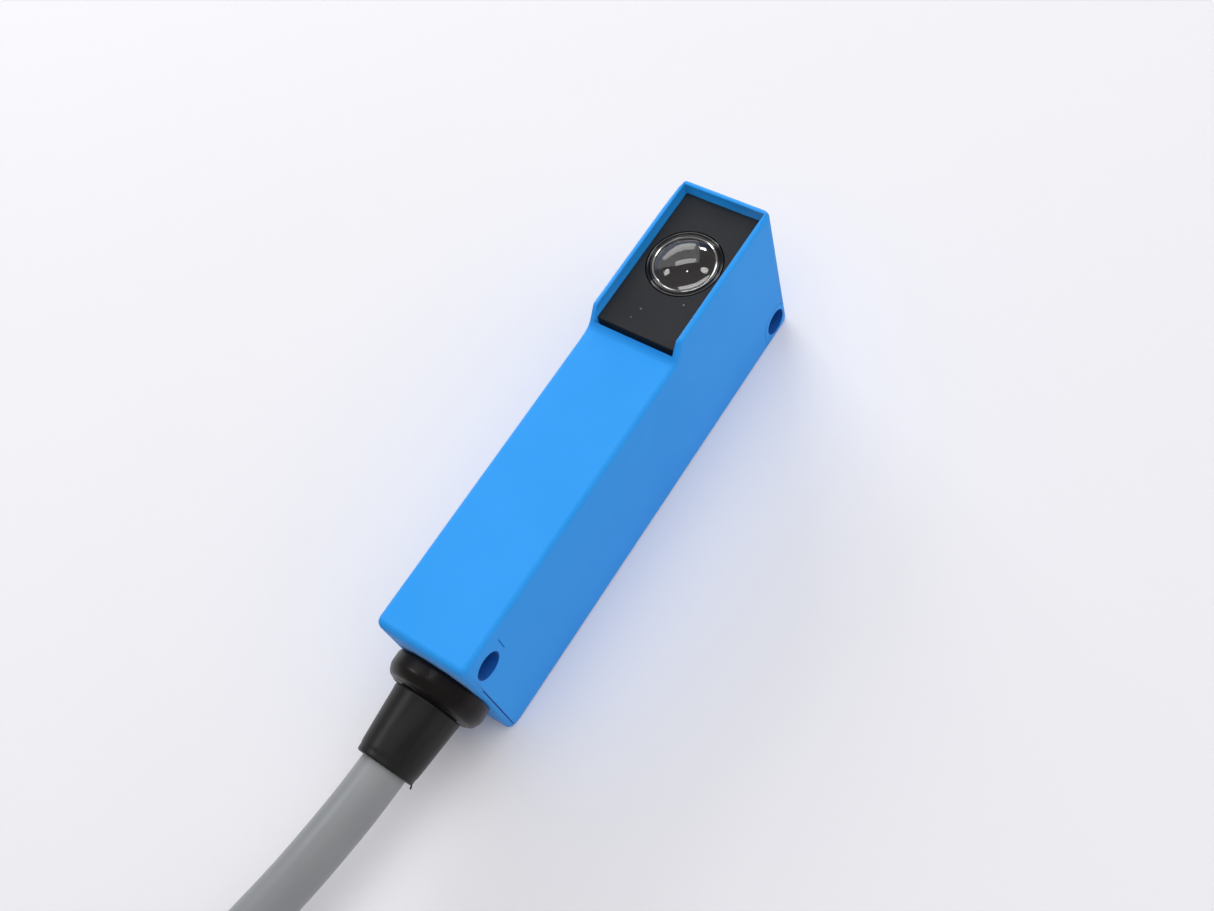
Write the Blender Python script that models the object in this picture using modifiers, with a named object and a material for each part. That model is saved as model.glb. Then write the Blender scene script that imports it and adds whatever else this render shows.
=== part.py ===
"""Slim photoelectric sensor, one half of a through-beam pair, with its connection cable.

The sensor lies on its back. X is its width, Y its length towards the head, Z its depth, up out of
the lens. The origin is the middle of the back face. Sizes here are in millimetres, and the
helpers turn them into Blender's metres.
"""

import math

import bmesh
import bpy
from mathutils import Matrix, Vector

MM = 0.001
AROUND = 40  # sides of a round piece

# Fits
SEAM = 0.08  # gap along a seam that shows
SEAT = 0.06  # gap where one piece rests on another
RUNNING = 0.05  # radial clearance of what turns
CORD_GAP = 0.3  # gap between the cord's own solids and what they meet
THROUGH = 1.0  # how far a cutter stands out past what it cuts

# Housing
WIDTH = 12.0
LENGTH = 62.0
HEIGHT = 19.0
HEAD_RISE = 2.2  # how far the frame round the window stands above the front face
HEAD_LENGTH = 19.4
RAMP_LENGTH = 1.8
EDGE_RADIUS = 0.45
FRONT_EDGE_RADIUS = 0.6
CORNER_RADIUS = 0.9  # the four upright corners and the front edge at the cable end
SIDE_WALL = 1.0
FRONT_WALL = 1.2
END_WALL = 1.8

# Rear cover, a plate between the side walls with a lip over each end
COVER_THICKNESS = 1.2
LIP_THICKNESS = 0.6
LIP_GAP = 0.15  # the seam that shows as a dark line by the cable end
CABLE_LIP_HEIGHT = 12.65
HEAD_LIP_HEIGHT = 17.3
HEAD_LIP_INSET = 0.9
RAIL_THICKNESS = 0.8
RAIL_INSET = 0.5
TICK_SIZE = 0.28

# Mounting holes, across the width at two opposite corners
HOLE_DIAMETER = 3.4
LOWER_HOLE_FROM_END = 2.86
LOWER_HOLE_FROM_FRONT = 3.85
LOWER_TUBE_DIAMETER = 4.6
UPPER_HOLE_FROM_END = 2.75
UPPER_HOLE_HEIGHT = 2.45
LUG_DIAMETER = 4.9
MARK_FROM_HOLE = 2.5
MARK_LENGTH = 2.3
MARK_WIDTH = 0.18

# Window and front panel
RIM_WALL = 0.7
RIM_CHAMFER = 0.14
GATE_NOTCH = (0.5, 0.16, 0.5)  # the mould's mark in the middle of the frame's far edge
WINDOW_FROM_RAMP = 0.5
PANEL_LIFT = 0.8  # the panel's face above the front face
PANEL_THICKNESS = 1.6
PANEL_SIDE_GAP = 0.1
PANEL_END_GAP = 0.6
PANEL_EDGE = 0.12

# Optics
LENS_FROM_END = 9.6
LENS_DIAMETER = 7.4
LENS_CURVE = 6.0
LENS_RIM_HEIGHT = 0.72
FLANGE_WIDTH = 0.5
FLANGE_THICKNESS = 0.9
RING_WIDTH = 0.8
RING_THICKNESS = 0.92
BARREL_WALL = 0.65
STOP_SHELF = 0.4
STOP_THICKNESS = 0.4
STOP_HOLE = 3.0
STOP_ABOVE_BOARD = 5.0
DETECTOR_SIZE = (3.6, 3.0, 1.2)
DETECTOR_DOME = 1.1

# Boards
BOARD_THICKNESS = 1.0
BOARD_HEIGHT = 5.6
BOARD_SIDE_GAP = 0.4
BOARD_FROM_CABLE_END = 9.0
END_BOARD_THICKNESS = 0.8
END_BOARD_CLEARANCE = 0.34  # below the housing's ceiling
LINK_SIZE = (7.2, 1.7, 1.4)
LINK_PINS = 4
PIN_DIAMETER = 0.5

# Adjuster and indicator, on the head's end face
ADJUSTER_HEIGHT = 13.2
ADJUSTER_DIAMETER = 3.5
ADJUSTER_RECESS = 0.12
ADJUSTER_HEAD = 1.45
SLOT_WIDTH = 0.6
SLOT_DEPTH = 0.6
SHAFT_DIAMETER = 1.6
SHAFT_LENGTH = 1.3
RING_GROOVE_DEPTH = 0.45
RING_GROOVE_WIDTH = 0.55
SEAL_RADIUS = 0.2
TRIMMER_SIZE = (3.8, 2.1, 3.8)
GUIDE_HEIGHT = 8.4
GUIDE_DIAMETER = 2.2
GUIDE_COLLAR = 0.5
LED_SIZE = (1.6, 0.8, 1.0)

# Cable gland
GLAND_HEIGHT = 9.5
CABLE_DIAMETER = 5.4
GLAND_DIAMETER = 11.8
GLAND_THICKNESS = 3.15
GLAND_EDGE = 0.8
NECK_WALL = 0.9
BOOT_ROOT_DIAMETER = 8.4
BOOT_END_DIAMETER = 7.0
BOOT_LENGTH = 8.0
BOOT_LIP = 0.5
CLAMP_WALL = 0.45
CLAMP_LENGTH = 2.4
STUB_INSIDE = 4.6  # how far the jacket runs into the housing
CORE_DIAMETER = 1.25
CORE_SPREAD = 0.85
PAD_SPACING = 1.9
PAD_FROM_BOARD_END = 3.0

# Cord: its route from the boot to the hank, and the hank that the rest is folded into.
# The route's points are sideways, away from the boot, and up from the hank's lowest turn as a
# share of the way to the gland.
ROUTE = [
    (0.0, 0.0, 1.0),
    (-0.25, 4.5, 0.99),
    (-0.9, 9.5, 0.935),
    (-1.9, 14.5, 0.82),
    (-3.2, 19.5, 0.68),
    (-4.7, 24.5, 0.485),
    (-6.1, 29.5, 0.306),
    (-7.5, 35.5, 0.13),
]
HANK_BEARING = -43.7  # from the route's end to the hank's near fold, in degrees from X
FOLD_IN_DIAMETERS = 3.0  # bend radius of the inner turns at the folds
HANK_COLUMNS = 2
HANK_LAYERS = 5
HANK_RUN = 43.5  # straight length between the folds
HANK_LIFT = 0.6  # the tie's strap passes under the hank
TAIL_SHARE = 0.55  # how far round the far fold the tail reaches, on top of the hank
TIE_WIDTH = 4.0
TIE_THICKNESS = 0.5
CORE_END_LENGTH = 22.0
CORE_END_SPREAD = 2.2

# Places worked out from the sizes above
CABLE_END = -LENGTH / 2
HEAD_END = LENGTH / 2
SIDE = WIDTH / 2
TOP = HEIGHT + HEAD_RISE
RAMP_TOP = HEAD_END - HEAD_LENGTH
RAMP_BASE = RAMP_TOP - RAMP_LENGTH
INNER_SIDE = SIDE - SIDE_WALL
INNER_START = CABLE_END + END_WALL
INNER_END = HEAD_END - END_WALL
LOWER_HOLE = (CABLE_END + LOWER_HOLE_FROM_END, HEIGHT - LOWER_HOLE_FROM_FRONT)
UPPER_HOLE = (HEAD_END - UPPER_HOLE_FROM_END, UPPER_HOLE_HEIGHT)
WINDOW_START = RAMP_BASE + WINDOW_FROM_RAMP
PANEL_TOP = HEIGHT + PANEL_LIFT
PANEL_BOTTOM = PANEL_TOP - PANEL_THICKNESS
WINDOW_FLOOR = PANEL_BOTTOM - SEAT
HEAD_CEILING = WINDOW_FLOOR - FRONT_WALL
LENS_Y = HEAD_END - LENS_FROM_END
FLANGE_DIAMETER = LENS_DIAMETER + 2 * FLANGE_WIDTH
PANEL_HOLE = LENS_DIAMETER + 2 * RING_WIDTH + 2 * SEAM
FLANGE_BOTTOM = PANEL_BOTTOM - FLANGE_THICKNESS / 4
FLANGE_TOP = FLANGE_BOTTOM + FLANGE_THICKNESS
BARREL_TOP = FLANGE_BOTTOM - SEAT
BARREL_BORE = LENS_DIAMETER + FLANGE_WIDTH
BARREL_DIAMETER = BARREL_BORE + 2 * BARREL_WALL
BOARD_TOP = BOARD_HEIGHT + BOARD_THICKNESS
BARREL_BOTTOM = BOARD_TOP + SEAT
BOARD_START = CABLE_END + BOARD_FROM_CABLE_END
END_BOARD_Y = LENS_Y + BARREL_DIAMETER / 2 + SEAT
BOARD_END = END_BOARD_Y - 2 * SEAT
COMPONENT_Y = END_BOARD_Y + END_BOARD_THICKNESS + SEAT
NECK_DIAMETER = CABLE_DIAMETER + 2 * NECK_WALL
GLAND_HOLE = NECK_DIAMETER + 2 * SEAM
FLANGE_FACE = CABLE_END - SEAM
BOOT_ROOT = FLANGE_FACE - GLAND_THICKNESS
BOOT_END = BOOT_ROOT - BOOT_LENGTH
HANK_INNER = (FOLD_IN_DIAMETERS - 0.5) * CABLE_DIAMETER
HANK_OUTER = HANK_INNER + HANK_COLUMNS * CABLE_DIAMETER
HANK_MIDDLE = (HANK_INNER + HANK_OUTER) / 2
HANK_TOP = HANK_LIFT + HANK_LAYERS * CABLE_DIAMETER
HANK_FROM_ROUTE = HANK_OUTER + CABLE_DIAMETER / 2 + 3 * CORD_GAP
HANK_X = ROUTE[-1][0] + HANK_FROM_ROUTE * math.cos(math.radians(HANK_BEARING))
HANK_NEAR = (
    BOOT_END
    - CORD_GAP
    - ROUTE[-1][1]
    + HANK_FROM_ROUTE * math.sin(math.radians(HANK_BEARING))
)
HANK_FAR = HANK_NEAR - HANK_RUN
TAIL_HEIGHT = HANK_TOP + CABLE_DIAMETER / 2 + SEAT


def clear_scene():
    for obj in list(bpy.data.objects):
        bpy.data.objects.remove(obj, do_unlink=True)


def new_collection(name):
    collection = bpy.data.collections.new(name)
    bpy.context.scene.collection.children.link(collection)
    return collection


def make_material(name, colour, roughness, metallic=0.0, alpha=1.0):
    material = bpy.data.materials.new(name)
    material.use_nodes = True
    shader = material.node_tree.nodes["Principled BSDF"]
    shader.inputs["Base Color"].default_value = (*colour, 1.0)
    shader.inputs["Roughness"].default_value = roughness
    shader.inputs["Metallic"].default_value = metallic
    shader.inputs["Alpha"].default_value = alpha
    return material


def add_object(name, mesh, collection, material=None):
    obj = bpy.data.objects.new(name, mesh)
    collection.objects.link(obj)
    if material:
        mesh.materials.append(material)
    return obj


def shade(obj):
    obj.data.shade_smooth()
    obj.data.set_sharp_from_angle(angle=math.radians(35))


def box(name, low, high, collection, material=None, bevel=0.0):
    """A block between two corners, with its edges rounded."""
    shape = bmesh.new()
    size = Vector(high) - Vector(low)
    place = Matrix.Translation((Vector(low) + Vector(high)) / 2 * MM)
    bmesh.ops.create_cube(shape, size=1.0, matrix=place @ Matrix.Diagonal((*(size * MM), 1)))
    mesh = bpy.data.meshes.new(name)
    shape.to_mesh(mesh)
    shape.free()
    obj = add_object(name, mesh, collection, material)
    if bevel:
        round_edges(obj, bevel)
    return obj


def flared_box(name, low, high, flare, collection):
    """A block whose top is wider than its bottom by a flare on every side."""
    obj = box(name, low, high, collection)
    middle = (Vector(low) + Vector(high)) / 2 * MM
    for vertex in obj.data.vertices:
        offset = vertex.co - middle
        if offset.z > 0:
            vertex.co.x += math.copysign(flare * MM, offset.x)
            vertex.co.y += math.copysign(flare * MM, offset.y)
    return obj


def round_edges(obj, width, segments=2):
    bevel = obj.modifiers.new("rounded edges", "BEVEL")
    bevel.width = width * MM
    bevel.segments = segments
    bevel.limit_method = "ANGLE"
    bevel.harden_normals = True


AXES = {
    "X": Matrix.Rotation(math.pi / 2, 4, "Y"),
    "Y": Matrix.Rotation(-math.pi / 2, 4, "X"),
    "Z": Matrix(),
}


def rod(name, centre, axis, diameter, length, collection, material=None, sides=AROUND):
    """A plain cylinder along a row axis."""
    shape = bmesh.new()
    bmesh.ops.create_cone(
        shape,
        cap_ends=True,
        segments=sides,
        radius1=diameter / 2 * MM,
        radius2=diameter / 2 * MM,
        depth=length * MM,
        matrix=Matrix.Translation(Vector(centre) * MM) @ AXES[axis],
    )
    mesh = bpy.data.meshes.new(name)
    shape.to_mesh(mesh)
    shape.free()
    obj = add_object(name, mesh, collection, material)
    shade(obj)
    return obj


def turned(name, profile, place, axis, collection, material=None, sides=AROUND):
    """A profile of (radius, height) points, down its outer side, spun round its own Z axis.

    A profile that doesn't start and end on the axis is closed into a ring.
    """
    ring = profile[0][0] > 0
    points = [(radius * MM, 0.0, height * MM) for radius, height in profile]
    edges = [(i, i + 1) for i in range(len(points) - 1)]
    if ring:
        edges.append((len(points) - 1, 0))
    mesh = bpy.data.meshes.new(name)
    mesh.from_pydata(points, edges, [])
    obj = add_object(name, mesh, collection, material)
    obj.matrix_world = Matrix.Translation(Vector(place) * MM) @ AXES[axis]
    screw = obj.modifiers.new("spin", "SCREW")
    screw.steps = sides
    screw.render_steps = sides
    screw.use_merge_vertices = True
    screw.merge_threshold = 0.000001
    screw.use_smooth_shade = True
    return obj


def solid_mesh(obj, collection):
    """The evaluated curve as a mesh object with its caps welded. The curve is removed."""
    bpy.context.view_layer.update()
    graph = bpy.context.evaluated_depsgraph_get()
    mesh = bpy.data.meshes.new_from_object(obj.evaluated_get(graph))
    shape = bmesh.new()
    shape.from_mesh(mesh)
    bmesh.ops.remove_doubles(shape, verts=shape.verts, dist=0.0000005)
    bmesh.ops.recalc_face_normals(shape, faces=shape.faces)
    shape.to_mesh(mesh)
    shape.free()
    name = obj.name
    place = obj.matrix_world.copy()
    bpy.data.objects.remove(obj, do_unlink=True)
    made = bpy.data.objects.new(name, mesh)
    collection.objects.link(made)
    made.matrix_world = place
    return made


def side_outline(name, outline, x_from, x_to, collection, material=None):
    """A flat outline of (y, z) points, drawn out along the width."""
    curve = bpy.data.curves.new(name, "CURVE")
    curve.dimensions = "2D"
    curve.fill_mode = "BOTH"
    curve.extrude = (x_to - x_from) / 2 * MM
    spline = curve.splines.new("POLY")
    spline.points.add(len(outline) - 1)
    for point, (y, z) in zip(spline.points, outline):
        point.co = (y * MM, z * MM, 0.0, 1.0)
    spline.use_cyclic_u = True
    obj = bpy.data.objects.new(name, curve)
    collection.objects.link(obj)
    # The outline's own X, Y and Z become the row's Y, Z and X.
    turn = Matrix(((0, 0, 1), (1, 0, 0), (0, 1, 0))).to_4x4()
    obj.matrix_world = Matrix.Translation(((x_from + x_to) / 2 * MM, 0, 0)) @ turn
    made = solid_mesh(obj, collection)
    if material:
        made.data.materials.append(material)
    return made


def smooth_path(points, spacing):
    """Points about a spacing apart on a smooth curve through the route's own points."""
    knots = [Vector(p) for p in points]
    ends = [2 * knots[0] - knots[1], *knots, 2 * knots[-1] - knots[-2]]
    path = []
    for before, start, end, after in zip(ends, ends[1:], ends[2:], ends[3:]):
        steps = max(1, round((end - start).length / spacing))
        for i in range(steps):
            t = i / steps
            path.append(
                0.5
                * (
                    2 * start
                    + (end - before) * t
                    + (2 * before - 5 * start + 4 * end - after) * t**2
                    + (3 * start - before - 3 * end + after) * t**3
                )
            )
    path.append(knots[-1])
    return path


def tube(name, path, diameter, collection, material, resolution=2):
    """A round cord or wire along a path, with its ends closed."""
    curve = bpy.data.curves.new(name, "CURVE")
    curve.dimensions = "3D"
    curve.bevel_depth = diameter / 2 * MM
    curve.bevel_resolution = resolution
    curve.use_fill_caps = True
    spline = curve.splines.new("POLY")
    spline.points.add(len(path) - 1)
    for point, place in zip(spline.points, path):
        point.co = (*(Vector(place) * MM), 1.0)
    obj = bpy.data.objects.new(name, curve)
    collection.objects.link(obj)
    curve.materials.append(material)
    return obj


def helper(obj):
    """Marks a shape that only cuts or joins, so that it isn't part of the object."""
    obj.hide_render = True
    obj.display_type = "WIRE"
    return obj


def combine(obj, operation, others):
    """Adds one Boolean for each other shape.

    EXACT leaves the shell open where a seam crosses its rounded edges, so that one is MANIFOLD.
    """
    rounded = any(modifier.type == "BEVEL" for modifier in obj.modifiers)
    for other in others:
        step = obj.modifiers.new(f"{operation.lower()} {other.name}", "BOOLEAN")
        step.operation = operation
        step.object = other
        step.solver = "MANIFOLD" if rounded else "EXACT"


def cut(obj, *others):
    combine(obj, "DIFFERENCE", others)


def join(obj, *others):
    combine(obj, "UNION", others)


def hole_through_sides(name, place, diameter, tools):
    y, z = place
    return helper(rod(name, (0, y, z), "X", diameter, WIDTH + 2 * THROUGH, tools))


def lug_outline(clearance=0.0, drop=0.0):
    """Round the upper hole, from the back face up: straight sides under half a circle."""
    radius = LUG_DIAMETER / 2 + clearance
    y, z = UPPER_HOLE
    steps = AROUND // 2
    arc = [
        (y + radius * math.cos(math.pi * i / steps), z + radius * math.sin(math.pi * i / steps))
        for i in range(steps + 1)
    ]
    return [(y + radius, -drop), *arc, (y - radius, -drop)]


def outer_block(name, collection, material=None):
    """The sensor's outside, which the shell and the rear cover share."""
    outline = [
        (CABLE_END, 0.0),
        (HEAD_END, 0.0),
        (HEAD_END, TOP),
        (RAMP_TOP, TOP),
        (RAMP_BASE, HEIGHT),
        (CABLE_END, HEIGHT),
    ]
    block = side_outline(name, outline, -SIDE, SIDE, collection, material)
    round_block(block)
    return block


def make_housing(parts, tools, blue):
    """The one-piece shell: front, both sides and both ends, open at the back."""
    housing = outer_block("housing", parts, blue)
    ceiling = HEIGHT - FRONT_WALL
    step = WINDOW_START - FRONT_WALL
    cavity_outline = [
        (INNER_START, -THROUGH),
        (INNER_END, -THROUGH),
        (INNER_END, HEAD_CEILING),
        (step, HEAD_CEILING),
        (step, ceiling),
        (INNER_START, ceiling),
    ]
    cavity = side_outline("cut_cavity", cavity_outline, -INNER_SIDE, INNER_SIDE, tools)
    window = box(
        "cut_window",
        (-SIDE + RIM_WALL, WINDOW_START, WINDOW_FLOOR),
        (SIDE - RIM_WALL, HEAD_END - RIM_WALL, TOP + THROUGH),
        tools,
    )
    window_edge = flared_box(
        "cut_window_edge",
        (-SIDE + RIM_WALL, WINDOW_START, TOP - RIM_CHAMFER),
        (SIDE - RIM_WALL, HEAD_END - RIM_WALL, TOP + RIM_CHAMFER),
        2 * RIM_CHAMFER,
        tools,
    )
    across, along, down = GATE_NOTCH
    notch = box(
        "cut_gate_notch",
        (0.0, HEAD_END - along, TOP - down),
        (across, HEAD_END + THROUGH, TOP + THROUGH),
        tools,
    )
    cable_lip = box(
        "cut_cable_lip",
        (-SIDE - THROUGH, CABLE_END - THROUGH, -THROUGH),
        (SIDE + THROUGH, CABLE_END + LIP_THICKNESS + LIP_GAP, CABLE_LIP_HEIGHT + SEAM),
        tools,
    )
    lip_side = SIDE - HEAD_LIP_INSET + SEAM
    head_lip = box(
        "cut_head_lip",
        (-lip_side, HEAD_END - LIP_THICKNESS - SEAM, -THROUGH),
        (lip_side, HEAD_END + THROUGH, HEAD_LIP_HEIGHT + SEAM),
        tools,
    )
    way_side = INNER_SIDE - SEAM
    plate_way = box(
        "cut_plate_way",
        (-way_side, CABLE_END - THROUGH, -THROUGH),
        (way_side, HEAD_END + THROUGH, COVER_THICKNESS + SEAM),
        tools,
    )
    lug = side_outline("cut_lug", lug_outline(SEAM, THROUGH), -SIDE - THROUGH, SIDE + THROUGH, tools)
    gland = rod(
        "cut_gland",
        (0, CABLE_END + END_WALL / 2, GLAND_HEIGHT),
        "Y",
        GLAND_HOLE,
        END_WALL + 2 * THROUGH,
        tools,
    )
    barrel = rod(
        "cut_barrel",
        (0, LENS_Y, WINDOW_FLOOR),
        "Z",
        BARREL_DIAMETER + 2 * SEAM,
        4 * FRONT_WALL,
        tools,
    )
    openings = (cavity, window, window_edge, notch, cable_lip, head_lip)
    for cutter in (*openings, plate_way, lug, gland, barrel):
        cut(housing, helper(cutter))
    y, z = LOWER_HOLE
    lower_tube = rod(
        "lower_tube", (0, y, z), "X", LOWER_TUBE_DIAMETER, 2 * INNER_SIDE + SIDE_WALL, tools
    )
    join(housing, helper(lower_tube))
    cut(housing, hole_through_sides("cut_lower_hole", LOWER_HOLE, HOLE_DIAMETER, tools))
    cut(housing, *end_face_holes(tools, "housing"), *surface_marks(tools))
    return housing


def round_block(block):
    """Gives each outer edge its own radius: upright corners the most, the back and the frame the least."""
    mesh = block.data
    weights = mesh.attributes.new("bevel_weight_edge", "FLOAT", "EDGE")
    place = block.matrix_world
    for edge in mesh.edges:
        start, end = (place @ mesh.vertices[i].co / MM for i in edge.vertices)
        run = end - start
        upright = abs(run.z) > 0.9 * run.length
        low_front = min(start.z, end.z) > HEIGHT - SEAM and max(start.z, end.z) < HEIGHT + SEAM
        at_cable_end = max(start.y, end.y) < CABLE_END + SEAM
        if upright or (low_front and at_cable_end):
            radius = CORNER_RADIUS
        elif low_front and abs(run.y) > 0.9 * run.length:
            radius = FRONT_EDGE_RADIUS
        else:
            radius = EDGE_RADIUS
        weights.data[edge.index].value = radius / CORNER_RADIUS
    round_edges(block, CORNER_RADIUS, 4)
    block.modifiers[-1].limit_method = "WEIGHT"


def end_face_holes(tools, owner):
    """The adjuster's and the light guide's ways through the head's end."""
    holes = []
    for name, height, diameter in (
        ("adjuster", ADJUSTER_HEIGHT, ADJUSTER_DIAMETER + 2 * RUNNING),
        ("guide", GUIDE_HEIGHT, GUIDE_DIAMETER + 2 * SEAT),
    ):
        hole = rod(
            f"cut_{name}_in_{owner}",
            (0, HEAD_END - END_WALL / 2, height),
            "Y",
            diameter,
            END_WALL + 2 * THROUGH,
            tools,
        )
        holes.append(helper(hole))
    return holes


def surface_marks(tools):
    """The short mould line by the lower hole, and the tick where the head's lip begins."""
    y, z = LOWER_HOLE
    marks = []
    for side in (-1, 1):
        face = side * SIDE
        marks.append(
            box(
                f"cut_mark_{side}",
                (face - MARK_WIDTH, y + MARK_FROM_HOLE, z - MARK_LENGTH / 4),
                (face + MARK_WIDTH, y + MARK_FROM_HOLE + MARK_WIDTH, z + MARK_LENGTH * 3 / 4),
                tools,
            )
        )
        marks.append(
            box(
                f"cut_tick_{side}",
                (face - EDGE_RADIUS, HEAD_END - EDGE_RADIUS, HEAD_LIP_HEIGHT),
                (face + EDGE_RADIUS, HEAD_END + EDGE_RADIUS, HEAD_LIP_HEIGHT + TICK_SIZE),
                tools,
            )
        )
    return [helper(mark) for mark in marks]


def make_rear_cover(parts, tools, blue):
    """The back plate, its two end lips, the lug round the upper hole and the board's rails."""
    plate_side = INNER_SIDE - 2 * SEAM
    cover = box(
        "rear_cover",
        (-plate_side, CABLE_END + LIP_THICKNESS / 2, -THROUGH),
        (plate_side, HEAD_END - LIP_THICKNESS / 2, COVER_THICKNESS),
        parts,
        blue,
    )
    cable_lip = box(
        "cable_lip",
        (-SIDE - THROUGH, CABLE_END - THROUGH, -THROUGH),
        (SIDE + THROUGH, CABLE_END + LIP_THICKNESS, CABLE_LIP_HEIGHT),
        tools,
    )
    lip_side = SIDE - HEAD_LIP_INSET
    head_lip = box(
        "head_lip",
        (-lip_side, HEAD_END - LIP_THICKNESS, -THROUGH),
        (lip_side, HEAD_END + THROUGH, HEAD_LIP_HEIGHT),
        tools,
    )
    lug = side_outline("lug", lug_outline(0.0, THROUGH), -SIDE - THROUGH, SIDE + THROUGH, tools)
    join(cover, helper(cable_lip), helper(head_lip), helper(lug))
    combine(cover, "INTERSECT", [helper(outer_block("cover_outside", tools))])
    rail_side = INNER_SIDE - RAIL_INSET
    for side in (-1, 1):
        inner, outer = sorted((side * rail_side, side * (rail_side - RAIL_THICKNESS)))
        rail = box(
            f"rail_{side}",
            (inner, BOARD_START, COVER_THICKNESS / 2),
            (outer, LENS_Y, BOARD_HEIGHT - SEAT),
            tools,
        )
        join(cover, helper(rail))
    gland = rod(
        "cut_gland_in_cover",
        (0, CABLE_END + LIP_THICKNESS / 2, GLAND_HEIGHT),
        "Y",
        GLAND_HOLE,
        LIP_THICKNESS + 2 * THROUGH,
        tools,
    )
    cut(cover, hole_through_sides("cut_upper_hole", UPPER_HOLE, HOLE_DIAMETER, tools))
    cut(cover, helper(gland), *end_face_holes(tools, "cover"))
    return cover


def make_front_panel(parts, tools, black):
    """The matte black plate in the window, with the lens hole."""
    side = SIDE - RIM_WALL - PANEL_SIDE_GAP
    panel = box(
        "front_panel",
        (-side, WINDOW_START + PANEL_END_GAP, PANEL_BOTTOM),
        (side, HEAD_END - RIM_WALL - PANEL_SIDE_GAP, PANEL_TOP),
        parts,
        black,
        PANEL_EDGE,
    )
    hole = rod(
        "cut_lens_hole",
        (0, LENS_Y, PANEL_BOTTOM),
        "Z",
        PANEL_HOLE,
        2 * PANEL_THICKNESS + 2 * THROUGH,
        tools,
    )
    cut(panel, helper(hole))
    return panel


def lens_profile():
    """Down the lens: the dome's arc from its crown, the short rim, then the flange."""
    radius = LENS_DIAMETER / 2
    rim_top = FLANGE_TOP + LENS_RIM_HEIGHT
    centre = rim_top - math.sqrt(LENS_CURVE**2 - radius**2)
    edge = math.asin(radius / LENS_CURVE)
    steps = 10
    arc = [
        (LENS_CURVE * math.sin(edge * i / steps), centre + LENS_CURVE * math.cos(edge * i / steps))
        for i in range(steps + 1)
    ]
    flange = FLANGE_DIAMETER / 2
    return [
        *arc,
        (radius, FLANGE_TOP),
        (flange, FLANGE_TOP),
        (flange, FLANGE_BOTTOM),
        (0.0, FLANGE_BOTTOM),
    ]


def make_optics(parts, clear, black, dark_glass):
    """The lens, the ring that holds it, its barrel, the light stop and the detector."""
    axis = (0, LENS_Y, 0)
    turned("lens", lens_profile(), axis, "Z", parts, clear)
    inner = LENS_DIAMETER / 2 + SEAT
    outer = LENS_DIAMETER / 2 + RING_WIDTH
    low = FLANGE_TOP + SEAT
    ring = [
        (inner, low + RING_THICKNESS),
        (outer, low + RING_THICKNESS),
        (outer, low),
        (inner, low),
    ]
    turned("lens_ring", ring, axis, "Z", parts, black)
    bore = BARREL_BORE / 2
    shelf = bore - STOP_SHELF
    step = BARREL_BOTTOM + STOP_ABOVE_BOARD
    barrel = [
        (bore, BARREL_TOP),
        (BARREL_DIAMETER / 2, BARREL_TOP),
        (BARREL_DIAMETER / 2, BARREL_BOTTOM),
        (shelf, BARREL_BOTTOM),
        (shelf, step),
        (bore, step),
    ]
    turned("lens_barrel", barrel, axis, "Z", parts, black)
    stop_low = step + SEAT
    stop = [
        (STOP_HOLE / 2, stop_low + STOP_THICKNESS),
        (bore - SEAT, stop_low + STOP_THICKNESS),
        (bore - SEAT, stop_low),
        (STOP_HOLE / 2, stop_low),
    ]
    turned("light_stop", stop, axis, "Z", parts, black)
    x, y, z = DETECTOR_SIZE
    low = BOARD_TOP + SEAT
    box(
        "light_detector",
        (-x / 2, LENS_Y - y / 2, low),
        (x / 2, LENS_Y + y / 2, low + z),
        parts,
        dark_glass,
        0.1,
    )
    dome = [
        (DETECTOR_DOME * math.sin(math.pi * i / 12), DETECTOR_DOME * math.cos(math.pi * i / 12))
        for i in range(7)
    ]
    place = (0, LENS_Y, low + z + SEAT)
    turned("detector_lens", [*dome, (0.0, 0.0)], place, "Z", parts, clear, 24)


def make_boards(parts, tools, board_green, black):
    """The main board on the cover's rails, the upright end board, and the pins that join them."""
    side = INNER_SIDE - BOARD_SIDE_GAP
    box(
        "main_board",
        (-side, BOARD_START, BOARD_HEIGHT),
        (side, BOARD_END, BOARD_TOP),
        parts,
        board_green,
    )
    box(
        "end_board",
        (-side, END_BOARD_Y, BOARD_HEIGHT),
        (side, END_BOARD_Y + END_BOARD_THICKNESS, HEAD_CEILING - END_BOARD_CLEARANCE),
        parts,
        board_green,
    )
    x, y, z = LINK_SIZE
    high = BOARD_HEIGHT - SEAT
    start = UPPER_HOLE[0] - LUG_DIAMETER / 2 - SEAM - y
    link = box("board_link", (-x / 2, start, high - z), (x / 2, start + y, high), parts, black)
    reach = END_BOARD_Y + END_BOARD_THICKNESS / 2 - start - y / 2
    for i in range(LINK_PINS):
        place = (i - (LINK_PINS - 1) / 2) * x / LINK_PINS
        pin = rod(
            f"link_pin_{i + 1}",
            (place, start + y / 2 + reach / 2, high - PIN_DIAMETER / 2),
            "Y",
            PIN_DIAMETER,
            reach,
            tools,
            sides=12,
        )
        join(link, helper(pin))


# Name, middle along the length, size, material. All stand on the main board.
COMPONENTS = [
    ("suppressor_diode", -13.4, (3.6, 2.6, 2.2), "black"),
    ("output_transistor", -9.6, (4.5, 2.5, 1.5), "black"),
    ("voltage_regulator", 1.2, (4.5, 2.5, 1.5), "black"),
    ("controller_chip", 6.4, (6.0, 5.0, 1.6), "black"),
    ("amplifier_chip", 12.4, (5.0, 4.0, 1.5), "black"),
]
CAPACITOR_Y = -3.9
CAPACITOR_DIAMETER = 6.3
CAPACITOR_HEIGHT = 5.8
CAPACITOR_EDGE = 0.4


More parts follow.
